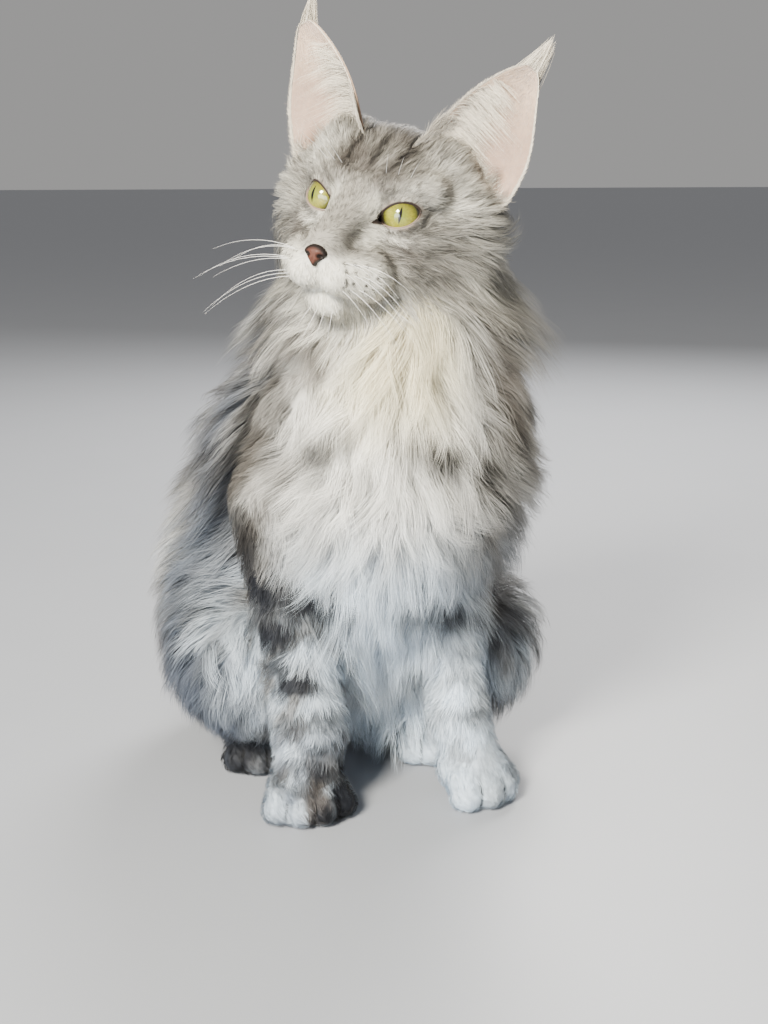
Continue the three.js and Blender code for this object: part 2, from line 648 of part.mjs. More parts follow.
// The ears: a cup from base to tip, with a tuft at the tip and long hairs across the inside.
function earSurface(s) {
  const [inner, outer, tip] = [vec(ear.inner), vec(ear.outer), vec(ear.tip)];
  const across = outer.clone().sub(inner);
  const middle = inner.clone().add(outer).multiplyScalar(0.5);
  const rise = tip.clone().sub(middle);
  const back = new THREE.Vector3().crossVectors(rise, across).normalize();
  if (back.y < 0) back.negate();
  return (u, t, depth) => {
    const wide = Math.sqrt(Math.max(0, 1 - t)) * (1 + 0.16 * Math.sin(Math.PI * clamp01(t)));
    const p = middle.clone().addScaledVector(rise, t).addScaledVector(across, (u - 0.5) * wide);
    const hollow = ear.cup * (1 - (2 * u - 1) ** 2) * Math.min(1, wide) * (1 - 0.35 * clamp01(t));
    p.addScaledVector(back, hollow - 5 * clamp01(t) ** 2 + depth);
    p.x *= s;
    return p;
  };
}

function earPart(side, grow) {
  const s = side === "left" ? 1 : -1;
  const at = earSurface(s);
  const columns = 6;
  const rows = [-0.28, 0, 0.22, 0.42, 0.6, 0.76, 0.88, 0.965];
  const rings = rows.map((t) => {
    const thin = (ear.wall * (1 - 0.3 * clamp01(t))) / 2 + grow;
    const edge = (u) => 1 - 0.75 * Math.abs(2 * u - 1) ** 6;
    const across = Array.from({ length: columns }, (_, i) => i / (columns - 1));
    const front = across.map((u) => at(u, t, -thin * edge(u)));
    const rear = across.map((u) => at(1 - u, t, thin * edge(1 - u)));
    return front.concat(rear);
  });
  const first = at(0.5, rows[0], 0);
  const last = at(0.5, 0.995, 0);
  const pieces = [solid(skinned(rings, first, last))];
  const strand = (points, width, thick) => {
    const out = vec([0, -1, 0.15]).normalize();
    pieces.push(solid(lockAlong(points, [out, out, out], width, thick, grow)));
  };
  const tip = at(0.5, 0.97, 0);
  const way = tip.clone().sub(at(0.5, 0.6, 0)).normalize();
  for (const bend of [-0.24, 0, 0.26]) {
    const d = way.clone().addScaledVector(vec([s, 0, 0]), bend).normalize();
    const root = tip.clone().addScaledVector(d, -7).addScaledVector(vec([s, 0, 0]), bend * 14);
    strand([0, 7, 14, 24 - 8 * Math.abs(bend)].map((k) => root.clone().addScaledVector(d, k)), 6, 2.2);
  }
  for (let i = 0; i < 4; i += 1) {
    const t = 0.06 + 0.15 * i;
    const root = at(0.16, t, 0.4);
    const out = at(0.16, t, -9);
    const over = at(0.5, t + 0.1, -4);
    strand([root, out.lerp(root, 0.35), over, at(0.86, t + 0.2, -2)], 6.5, 1.8);
  }
  return joined(pieces);
}

const coated = (name, grow) => joined([trunkPart(name, grow), ...trunkLocks(grow)[name]]);

// The nodes in order. Each gives way to the grown copies of those that it lies under.
const ears = ["ear_right", "ear_left"];
const order = {
  eye_right: { make: () => eyeball(-1, 0), head: true },
  eye_left: { make: () => eyeball(1, 0), head: true },
  head: { make: headPart, head: true },
  ear_right: { make: (grow) => earPart("right", grow), head: true, under: ["head"] },
  ear_left: { make: (grow) => earPart("left", grow), head: true, under: ["head"] },
  neck: { make: (grow) => coated("neck", grow), under: ["eye_right", "eye_left", "head", ...ears] },
  chest: { make: (grow) => coated("chest", grow), under: ["head", "neck"] },
  back: { make: (grow) => coated("back", grow), under: ["head", "neck", "chest"] },
  rump: { make: (grow) => coated("rump", grow), under: ["chest", "back"] },
};
for (const side of ["right", "left"]) {
  order["foreleg_" + side] = { make: (grow) => forelegPart(side, grow), under: ["chest", "back", "neck"] };
  order["forepaw_" + side] = { make: (grow) => forepawPart(side, grow), under: ["foreleg_" + side] };
  order["hindfoot_" + side] = { make: (grow) => hindfootPart(side, grow), under: ["rump", "back", "chest"] };
  order["thigh_" + side] = {
    make: (grow) => joined([thighPart(side, grow), ...thighLocks(side, grow)]),
    under: ["chest", "back", "rump", "foreleg_" + side, "hindfoot_" + side, "forepaw_" + side],
  };
}
["tail_base", "tail_middle", "tail_end"].forEach((name, i, all) => {
  order[name] = {
    make: (grow) => joined([tailPart(i, grow), ...tailLocks(grow)[i]]),
    under: ["rump", "back", "thigh_right", "thigh_left", ...all.slice(0, i)],
  };
});

const looks = {
  coat: new THREE.MeshStandardMaterial({ color: 0xb9b6b2, roughness: 0.85 }),
  ear: new THREE.MeshStandardMaterial({ color: 0xcbb9b0, roughness: 0.8 }),
  eye: new THREE.MeshStandardMaterial({ color: 0xb5b84e, roughness: 0.12 }),
};

const bodies = {};
const grown = {};
for (const [name, { make, head, under = [] }] of Object.entries(order)) {
  const place = head ? placeHead : (made) => made;
  let made = place(make(0));
  for (const other of under) made = made.subtract(grown[other]);
  bodies[name] = largest(made);
  grown[name] = place(make(gap));
}

// The origin is the middle of the footprint's box, on the floor.
const box = new THREE.Box3();
for (const { min, max } of Object.values(bodies).map((made) => made.boundingBox())) {
  box.expandByPoint(vec(min)).expandByPoint(vec(max));
}
const middle = box.getCenter(new THREE.Vector3());
const toOrigin = [-middle.x, -middle.y, -box.min.z];

function geometryOf(made) {
  const data = made.getMesh();
  const g = new THREE.BufferGeometry();
  g.setAttribute("position", new THREE.BufferAttribute(new Float32Array(data.vertProperties), 3));
  g.setIndex(new THREE.BufferAttribute(new Uint32Array(data.triVerts), 1));
  return g;
}

// A body as a mesh keeps 32-bit numbers, which can pinch a thin bridge off, so its scraps are
// dropped once more after its vertices are merged.
function settled(made) {
  let body = made;
  for (let i = 0; i < 3; i += 1) body = largest(solid(geometryOf(body)));
  return geometryOf(body);
}

const group = new THREE.Group();
for (const [name, made] of Object.entries(bodies)) {
  const g = settled(made.translate(toOrigin));
  g.computeVertexNormals();
  const mesh = new THREE.Mesh(g, looks[name.split("_")[0]] ?? looks.coat);
  mesh.name = name;
  group.add(mesh);
}

export default group;
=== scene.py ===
# Seated Maine Coon cat: skin, coat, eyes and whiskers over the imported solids.
# Metres, +Z up. The cat's body faces -Y, its own left side is +X, and its head is turned right.
# Sizes in the tables are in millimetres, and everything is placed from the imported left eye.
import math
import bpy
import numpy as np
from mathutils import Matrix, Vector


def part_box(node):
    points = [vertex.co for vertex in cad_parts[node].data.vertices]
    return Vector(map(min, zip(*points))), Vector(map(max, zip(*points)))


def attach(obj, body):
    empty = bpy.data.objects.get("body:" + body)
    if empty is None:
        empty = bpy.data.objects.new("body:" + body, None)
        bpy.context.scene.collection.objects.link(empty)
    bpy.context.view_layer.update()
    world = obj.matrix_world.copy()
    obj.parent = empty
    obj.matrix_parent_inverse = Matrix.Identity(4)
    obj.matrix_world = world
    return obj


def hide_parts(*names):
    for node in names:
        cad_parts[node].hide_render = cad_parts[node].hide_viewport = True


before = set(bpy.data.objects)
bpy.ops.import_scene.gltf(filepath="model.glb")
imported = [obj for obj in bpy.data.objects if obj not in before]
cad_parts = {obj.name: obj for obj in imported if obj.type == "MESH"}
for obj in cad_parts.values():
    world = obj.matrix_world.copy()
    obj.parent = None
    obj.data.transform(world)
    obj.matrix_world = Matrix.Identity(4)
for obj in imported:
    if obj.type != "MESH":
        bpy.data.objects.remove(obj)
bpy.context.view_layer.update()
mm = 0.001

head = {"centre": (4, -14, 339), "yaw": -44, "pitch": 2, "roll": 12}
eyes = {"x": 21.5, "y": -28, "z": 2, "radius": 12, "corneaRadius": 9.2, "corneaAhead": 3.6}
opening = {"wide": 20.5, "high": 12.4, "slant": 23, "outward": 20, "upward": 0.06, "innerReach": 1.17}
ear = {
    "inner": (21, -9, 44), "outer": (60, 6, 17), "tip": (66, -1, 89), "cup": 13, "wall": 1.7,
    "foot": -0.26, "top": 0.985, "tall": 84,  # shares of the way up where it starts and ends, and its height
}
chestX = 15
hipX = 5
forePaw = {-1: (-50, -32, -4), 1: (52, -42, 30)}  # x, y and turn of each paw, by side
hindPaw = {-1: (-55, 50, -4), 1: (50, 28, 6)}
sides = (-1, 1)

headRotation = (
    Matrix.Rotation(math.radians(head["yaw"]), 3, "Z")
    @ Matrix.Rotation(math.radians(-head["pitch"]), 3, "X")
    @ Matrix.Rotation(math.radians(head["roll"]), 3, "Y")
)
headAxes = np.array(headRotation)


def smooth(low, high, value):
    t = np.clip((value - low) / (high - low), 0, 1)
    return t * t * (3 - 2 * t)


def unit(vectors):
    return vectors / np.maximum(np.linalg.norm(vectors, axis=-1, keepdims=True), 1e-12)


def eyeDirections(side):
    # out along the line of sight, long towards the outer corner, short towards the upper lid
    turn = math.radians(opening["outward"]) * side
    out = unit(np.array([math.sin(turn), -math.cos(turn), opening["upward"]]))
    across = unit(np.cross(np.array([0, 0, 1.0]), out))
    high = np.cross(out, across)
    outer = across if across[0] * side > 0 else -across
    slant = math.radians(opening["slant"])
    long = outer * math.cos(slant) + high * math.sin(slant)
    short = np.cross(long, out)
    return out, long, short if short[2] > 0 else -short


def eyeCentre(side):
    return np.array([side * eyes["x"], eyes["y"], eyes["z"]]) * mm


def originFromEyes():
    # where the design's zero lies in the row's frame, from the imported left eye
    low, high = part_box("eye_left")
    out = headAxes @ eyeDirections(1)[0]
    reach = np.maximum(0, eyes["corneaAhead"] * np.abs(out) + eyes["corneaRadius"] - eyes["radius"])
    middle = (np.array(low) + np.array(high)) / 2 - np.sign(out) * reach * mm / 2
    return middle - headAxes @ eyeCentre(1) - np.array(head["centre"]) * mm


origin = originFromEyes()
headPlace = origin + np.array(head["centre"]) * mm


def toHead(points):
    return (points - headPlace) @ headAxes


def fromHead(points):
    return points @ headAxes.T + headPlace


def mirroredPoints(local):
    # points in head axes, all brought over to the left side
    return np.column_stack([np.abs(local[:, 0]), local[:, 1:]])


# the body as round masses: start, radius, end, radius, coat depth, squeeze
def mass(start, startRadius, end, endRadius, coat=0, squeeze=(1, 1, 1)):
    return {
        "start": np.array(start) * mm,
        "end": np.array(end) * mm,
        "radii": (startRadius * mm, endRadius * mm),
        "coat": coat * mm,
        "squeeze": np.array(squeeze, float),
    }


trunkMasses = [
    mass((12, 4, 322), 40, (chestX, -4, 262), 45, 31),  # neck
    mass((chestX, -8, 262), 45, (14, -14, 205), 54, 29),  # breast
    mass((12, -12, 205), 50, (3, -6, 150), 37, 29),  # brisket
    mass((11, 20, 264), 43, (5, 70, 195), 56, 25),  # withers
    mass((5, 70, 195), 56, (2, 98, 130), 64, 28),  # loin
    mass((4, 22, 140), 46, (2, 66, 88), 56, 24),  # belly
    mass((2, 98, 130), 64, (2, 116, 67), 62, 27),  # croup
    mass((-24, 0, 222), 32, (-40, 4, 160), 24, 10),  # shoulders
    mass((50, -4, 222), 34, (52, 4, 162), 25, 9),
]
thighMasses = [
    shape
    for s in sides
    for shape in (
        mass((hipX + s * 48, 104, 94), 46, (hipX + s * 72, 40, 76), 33, 22),
        mass((hipX + s * 66, 44, 52), 26, (hipX + s * 62, 122, 40), 26, 14),
    )
]
legX = {-1: (-53, -46, -44), 1: (54, 48, 44)}


def legMasses(side):
    elbow, middle, wrist = legX[side]
    pawX, pawY, _ = forePaw[side]
    slim = 3.5 if side > 0 else 0
    return [
        mass((elbow, 4, 178), 27, (middle, -4, 104), 21.5 - slim, 4),
        mass((middle, -4, 104), 21.5 - slim, (wrist, pawY + 12, 46), 17.5 - slim, 4),
        mass((wrist, pawY + 12, 46), 17.5 - slim, (pawX, pawY + 4, 20), 15 - 0.6 * slim, 3),
    ]


def footMasses(paw, back, toeRadius, spread):
    x, y, turn = paw
    c, d = math.cos(math.radians(turn)), math.sin(math.radians(turn))

    def place(u, v, z):
        return (x + u * c - v * d, y + u * d + v * c, z)

    made = [mass(place(0, back, 17), 14, place(0, 2, 13), 14, 1.5, (1.25, 1, 0.95))]
    for n in (-1.5, -0.5, 0.5, 1.5):
        front = 11 - 4.4 * abs(n) ** 1.6
        knuckle = place(n * spread * 0.82, 1 - front * 0.35, toeRadius + 5)
        toe = place(n * spread, -front - 2, toeRadius - 0.8)
        made.append(mass(knuckle, toeRadius * 0.95, toe, toeRadius, 1))
    return made


pawSizes = [  # place, heel behind it, radius of a toe, space from toe to toe
    (forePaw[-1], 8, 8.4, 12), (forePaw[1], 8, 8.4, 12),
    (hindPaw[-1], 10, 8, 10.6), (hindPaw[1], 10, 8, 10.6),
]
feet = [footMasses(*sizes) for sizes in pawSizes]


def shankMass(side):
    x, y, _ = hindPaw[side]
    return mass((x, y + 14, 14), 13, (hipX + side * 58, y + 88, 16), 12, 3)


tail = {
    "line": [
        (0, 150, 48), (-5, 196, 33), (-6, 245, 27), (20, 286, 26),
        (68, 300, 26), (116, 283, 25), (149, 243, 21), (163, 200, 14),
    ],
    "radius": [24, 16, 13, 12, 11, 10, 8, 4],
    "coat": [20, 22, 26, 27, 27, 25, 20, 12],
}
tailMasses = [
    mass(
        tail["line"][i], tail["radius"][i], tail["line"][i + 1], tail["radius"][i + 1],
        (tail["coat"][i] + tail["coat"][i + 1]) / 2,
    )
    for i in range(7)
]

headMasses = [
    mass((0, 4, 10), 31, (0, 13, 5), 32, 2, (1.2, 1.08, 1.02)),  # skull
    mass((0, -16, 14), 18, (0, -4, 21), 19, 2, (1.7, 1, 1)),  # forehead
    mass((0, -34, 8), 10, (0, -66, -15), 6.5, 1, (1.2, 1, 1)),  # bridge of the nose
    mass((0, -66, -20), 7, (0, -70, -22), 6.5, 1, (1.2, 1, 1)),  # end of the nose
    mass((0, -34, -15), 19, (0, -54, -25), 12.5, 1, (1.1, 1, 1)),  # muzzle
    mass((0, -52, -48), 7.4, (0, -26, -38), 16, 2, (1.45, 1, 1)),  # chin and lower jaw
]
for s in sides:
    headMasses += [
        mass((s * 8.6, -65, -32), 9.3, (s * 17.5, -49, -30), 12.8, 1.5),  # whisker pad
        mass((s * 22, -20, -24), 17, (s * 33, 8, -16), 22, 5),  # cheek
        mass((s * 28, -22, -9), 11, (s * 36, 2, 0), 15, 2),  # cheekbone
        mass((s * 13, -36, 15), 7, (s * 31, -20, 17), 8.5, 1.5),  # brow
        mass((s * 28, 0, 29), 14, (s * 47, 6, 7), 13, 3),  # root of the ear
    ]


def reach(points, masses, blend, share=0.0):
    # distance to a set of masses, melted together over blend metres, negative inside
    total = np.zeros(len(points))
    for m in masses:
        way = m["end"] - m["start"]
        off = points - m["start"]
        t = np.clip(off @ way / max(way @ way, 1e-12), 0, 1)
        off = (off - t[:, None] * way) / m["squeeze"]
        radius = m["radii"][0] + (m["radii"][1] - m["radii"][0]) * t + share * m["coat"]
        total += np.exp(-(np.linalg.norm(off, axis=1) - radius) * m["squeeze"].min() / blend)
    return -blend * np.log(np.maximum(total, 1e-300))


# each region: its masses, how far they melt together
regions = {
    "trunk": (trunkMasses + thighMasses, 9 * mm),
    "legs": (legMasses(-1) + legMasses(1), 5 * mm),
    "feet": (sum(feet, []) + [shankMass(side) for side in sides], 1.6 * mm),
    "tail": (tailMasses, 5 * mm),
    "head": (headMasses, 2.4 * mm),
}
regionNames = list(regions)


def ownFrame(points, name):
    return toHead(points) if name == "head" else points - origin


def regionReach(points, name, share=0.0):
    masses, blend = regions[name]
    return reach(ownFrame(points, name), masses, blend, share)


def bodyReach(points, share=0.0, melt=4 * mm):
    parts = [np.exp(-regionReach(points, name, share) / melt) for name in regions]
    return -melt * np.log(np.maximum(sum(parts), 1e-300))


def outward(points, field, step=0.6 * mm):
    corners = np.array([(1, 1, 1), (1, -1, -1), (-1, 1, -1), (-1, -1, 1)], float)
    total = np.zeros_like(points)
    for corner in corners:
        total += corner * field(points + corner * step)[:, None]
    return unit(total)


def nearestRegion(points):
    return np.array([regionReach(points, name) for name in regionNames]).argmin(axis=0)


def coatDepth(points):
    # depth of the coat from the masses nearest to each point
    depth = np.zeros(len(points))
    weight = np.full(len(points), 1e-12)
    for name, (masses, _) in regions.items():
        local = ownFrame(points, name)
        for m in masses:
            near = np.exp(-np.clip(reach(local, [m], mm), -0.05, 0.3) / (7 * mm))
            depth += near * m["coat"]
            weight += near
    return depth / weight


# mesh helpers
def deselectAll():
    if bpy.context.mode != "OBJECT":
        bpy.ops.object.mode_set(mode="OBJECT")
    bpy.ops.object.select_all(action="DESELECT")


def selectOnly(pieces):
    # the first piece is the active one
    deselectAll()
    for piece in pieces:
        piece.select_set(True)
    bpy.context.view_layer.objects.active = pieces[0]


def shadeSmooth(obj):
    selectOnly([obj])
    bpy.ops.object.shade_smooth()


def turnOutwards(obj):
    selectOnly([obj])
    bpy.ops.object.mode_set(mode="EDIT")
    bpy.ops.mesh.select_all(action="SELECT")
    bpy.ops.mesh.normals_make_consistent(inside=False)
    bpy.ops.object.mode_set(mode="OBJECT")
    bpy.ops.object.shade_smooth()


def finishPiece(obj):
    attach(obj, "root")
    return obj


def applyModifiers(obj):
    bpy.context.view_layer.objects.active = obj
    for modifier in list(obj.modifiers):
        bpy.ops.object.modifier_apply(modifier=modifier.name)


def readRows(items, key, width=3, kind=float):
    # one value of every item in a mesh's list, as rows
    flat = np.empty(len(items) * width, kind)
    items.foreach_get(key, flat)
    return flat.reshape(-1, width)


def coordinates(mesh):
    return readRows(mesh.vertices, "co")


def setCoordinates(mesh, points):
    mesh.vertices.foreach_set("co", np.asarray(points, float).ravel())
    mesh.update()


def gridLoops(rows, columns, closedRows=False, closedColumns=True, flip=False):
    # corners of the quads of a grid of points, which may close on itself
    loops = []
    for i in range(rows if closedRows else rows - 1):
        k = (i + 1) % rows
        for j in range(columns if closedColumns else columns - 1):
            m = (j + 1) % columns
            quad = [i * columns + j, i * columns + m, k * columns + m, k * columns + j]
            loops += quad[::-1] if flip else quad
    return loops


def meshFrom(name, points, loops, perFace):
    # a mesh of equal faces, perFace corners each
    mesh = bpy.data.meshes.new(name)
    mesh.vertices.add(len(points))
    mesh.vertices.foreach_set("co", np.asarray(points, np.float32).ravel())
    faces = len(loops) // perFace
    mesh.loops.add(len(loops))
    mesh.loops.foreach_set("vertex_index", np.asarray(loops, np.int32))
    mesh.polygons.add(faces)
    mesh.polygons.foreach_set("loop_start", np.arange(0, len(loops), perFace, dtype=np.int32))
    mesh.update(calc_edges=True)
    mesh.validate()
    obj = bpy.data.objects.new(name, mesh)
    bpy.context.scene.collection.objects.link(obj)
    return obj


def setColours(mesh, name, colours):
    attribute = mesh.attributes.get(name) or mesh.attributes.new(name, "FLOAT_COLOR", "POINT")
    full = np.ones((len(mesh.vertices), 4), np.float32)
    full[:, :3] = colours
    attribute.data.foreach_set("color", full.ravel())


def mixed(under, over, share):
    # one colour laid over another, with a share for each point
    under, over = np.asarray(under), np.asarray(over)
    return under + (over - under) * share[:, None]


# markings: where the coat is dark, warm or white
def offIn(points, centre, size):
    # how far points lie from a centre, measured in sizes
    return (points - np.array(centre) * mm) / (np.array(size) * mm)


def bump3(points, centre, size):
    # a soft round patch, 1 in the middle
    off = offIn(points, centre, size)
    return np.exp(-np.sum(off * off, axis=-1))


def waves(points, seed, scale):
    # smooth noise from a few slanted sine waves, about -1 to 1
    random = np.random.default_rng(seed)
    total = np.zeros(len(points))
    for _ in range(7):
        way = random.normal(size=3)
        way = unit(way) * random.uniform(0.7, 1.5) * 2 * math.pi / (scale * mm)
        total += np.sin(points @ way + random.uniform(0, 6.28))
    return total / 3.2


coatTones = {
    "white": (0.93, 0.915, 0.855),
    # painted cool light: a bluish tint laid over the lower coat, not a colour of the fur
    "cool": (0.72, 0.84, 0.965),
    "silver": (0.155, 0.141, 0.124),
    "blue": (0.14, 0.172, 0.235),
    "smoke": (0.013, 0.011, 0.010),
    # smoke of the dark marks in painted cool light: the blue tint stands in for cool light on the lower body
    "ink": (0.017, 0.019, 0.025),
    "brown": (0.085, 0.062, 0.046),
    "ivory": (0.95, 0.87, 0.62),
}
darkPatches = [  # middle, size, strength, in the body's own frame
    # behind the shoulder
    ((-64, 30, 221), (10, 18, 26), 0.85), ((-70, 32, 188), (10, 17, 30), 0.92),
    ((-78, -2, 160), (10, 17, 22), 0.85), ((-62, 62, 208), (12, 9, 20), 0.5),
    ((-80, 30, 150), (9, 14, 18), 0.6),
    # bars of the right foreleg
    ((-72, -16, 134), (15, 16, 12), 1.0), ((-52, -29, 127), (18, 15, 8), 0.97),
    ((-33, -32, 120), (15, 13, 7), 0.85), ((-67, -24, 108), (15, 15, 9), 0.97),
    ((-62, -22, 120), (16, 16, 6), 0.5), ((-77, -4, 111), (9, 14, 9), 0.6),
    ((-46, -34, 108), (9, 10, 4), 0.5), ((-60, -32, 79), (15, 14, 9), 0.97),
    ((-66, -24, 88), (9, 13, 7), 0.7), ((-42, -38, 60), (18, 10, 5), 0.5),
    ((-62, -30, 56), (12, 12, 4), 0.4), ((-40, -43, 43), (18, 12, 4), 0.5),
    ((-60, -40, 34), (14, 12, 4), 0.4),
    # bars of the left foreleg
    ((14, -57, 116), (20, 18, 7), 0.8), ((35, -44, 112), (18, 20, 8), 0.92),
    ((54, -32, 107), (15, 20, 8), 0.92), ((38, -46, 74), (18, 12, 5), 0.4),
    ((40, -50, 54), (18, 12, 4), 0.45), ((54, -40, 88), (14, 12, 5), 0.4),
    # smudges of the breast
    ((-51, -57, 214), (10, 16, 8), 0.95), ((-38, -68, 222), (8, 14, 6), 0.6),
    ((-62, -48, 224), (10, 14, 6), 0.5), ((-4, -84, 218), (11, 20, 6), 0.7),
    ((14, -78, 212), (20, 22, 10), 0.97), ((35, -74, 204), (19, 18, 10), 0.95),
    ((54, -62, 212), (14, 18, 9), 0.6),
    # toes of the right forepaw
    ((-31, -46, 12), (10, 19, 15), 1.0), ((-44, -55, 7), (8, 10, 8), 0.85),
    ((-42, -30, 28), (20, 14, 8), 0.85), ((-70, -38, 24), (8, 12, 6), 0.5),
    ((-56, -44, 22), (8, 10, 5), 0.45),
    # right hind foot, tail and left haunch
    ((-60, 50, 22), (22, 22, 18), 0.97), ((-74, 36, 12), (6, 22, 14), 0.9),
    ((-52, 30, 8), (9, 10, 6), 0.6), ((-18, 118, 24), (34, 24, 10), 0.35),
    ((60, 70, 120), (26, 40, 12), 0.4),
]
brownPatches = [
    ((-50, -35, 266), (14, 22, 24), 0.6), ((52, -62, 250), (14, 24, 34), 0.6),
    ((64, -46, 188), (14, 26, 40), 0.4), ((88, -2, 112), (22, 34, 50), 0.65),
    ((-50, -48, 12), (10, 16, 14), 0.85), ((0, 60, 250), (60, 40, 14), 0.4),
    ((-46, -44, 290), (12, 22, 16), 0.6), ((0, -52, 30), (60, 20, 6), 0.2),
]


def spotRow(row):
    # the dark roots of one row of whiskers, in head axes
    z = -26.5 - 3 * row
    return [
        (12.3 + 0.9 * row, -68, z), (16.0 - 0.3 * row, -63, z),
        (19.6 + 0.4 * row, -57, z), (22.5 - 0.5 * row, -52, z),
    ]


whiskerSpots = [spot for row in range(4) for spot in spotRow(row)]


def patches(p, table):
    # the strongest of a table's patches at each point, with edges broken up as a coat's are
    most = np.zeros(len(p))
    wobble = 0.22 * waves(p, 31, 17)
    for centre, size, strength in table:
        away = np.linalg.norm(offIn(p, centre, size), axis=1) + wobble
        most = np.maximum(most, smooth(1.45, 0.55, away) * strength)
    return most


def breastLine(z):
    # x of the middle of the breast's coat, in the body's own frame
    return -10 + 6 * smooth(220, 290, z)


def headMarks(p):
    # shares of silver, dark and brown for points in head axes
    mirrored = mirroredPoints(p)
    a, y, z = mirrored.T / mm
    wobble = waves(p, 5, 46) * 2.6
    silver = 0.66 + 0.32 * smooth(-6, 20, z) * smooth(26, 10, a)
    silver = silver + 0.13 * waves(p, 8, 26) + 0.14 * waves(p, 9, 9) - 0.17 * smooth(26, 42, a)
    silver = silver + 0.42 * bump3(mirrored, (30, -35, -13), (14, 18, 9))
    silver = silver - 0.3 * bump3(mirrored, (35, -22, 24), (9, 12, 8))
    bridgeTop = np.exp(-((a / 8.5) ** 2)) * smooth(-28, -12, z) * smooth(-30, -44, y)
    silver = silver + (0.62 - silver) * bridgeTop
    byEye = bump3(mirrored, (14.5, -45, -10), (7, 11, 5.5)) * 1.15
    byEye = byEye + bump3(mirrored, (10.8, -47, 3.5), (4, 9, 7)) * 1.15
    white = np.maximum.reduce([
        byEye,
        bump3(mirrored, (22, -40, -8.5), (8, 14, 3)),
        smooth(-49, -60, y) * smooth(-19, -26, z),
        smooth(-30, -50, y) * smooth(-19, -30, z) * 0.66,
        smooth(-34, -48, z) * smooth(40, 10, y) * (0.66 - 0.26 * smooth(-36, -50, y)),
    ])
    silver = silver * (1 - 0.95 * np.clip(white, 0, 1))
    lines = np.cos((a + wobble) / 4.3) ** 2
    dark = smooth(0.5, 1.0, lines) * smooth(14, 26, z) * smooth(38, 12, a) * smooth(-50, -38, y) * 0.85
    streaks = np.cos((z + 0.3 * y + wobble * 1.3) / 4.4) ** 2
    dark = np.maximum(dark, smooth(0.45, 1.0, streaks) * smooth(25, 36, a) * smooth(-34, -18, y) * 0.28)
    spots = np.full(len(p), 1.0)
    for spot in onHeadSurface(whiskerSpots):
        spots = np.minimum(spots, np.linalg.norm(mirrored - spot * mm, axis=1))
    dark = np.maximum.reduce([
        dark * smooth(-34, -14, z),
        bump3(mirrored, (8.5, -56, -9), (3, 12, 6)) * 0.4,
        bump3(mirrored, (15, -36, 18), (4, 10, 7)) * 0.3,
        np.maximum(0, waves(p, 41, 5.5)) * smooth(-48, -38, y) * smooth(-34, -24, z) * 0.42,
        smooth(1.5, 0.8, spots / mm) * 0.95,
    ])
    brown = np.maximum.reduce([
        bump3(mirrored, (36, -16, -18), (14, 22, 8)) * 0.2,
        smooth(2.6, 1.2, mouthLines(p)[0] / mm) * 0.8,
        bump3(mirrored, (33, -34, -13), (14, 16, 10)) * 0.22,
        bridgeTop * 0.28,
        smooth(6, 22, z) * smooth(34, 16, a) * 0.22,
    ])
    return np.clip(silver, 0, 1), np.clip(dark, 0, 1), brown


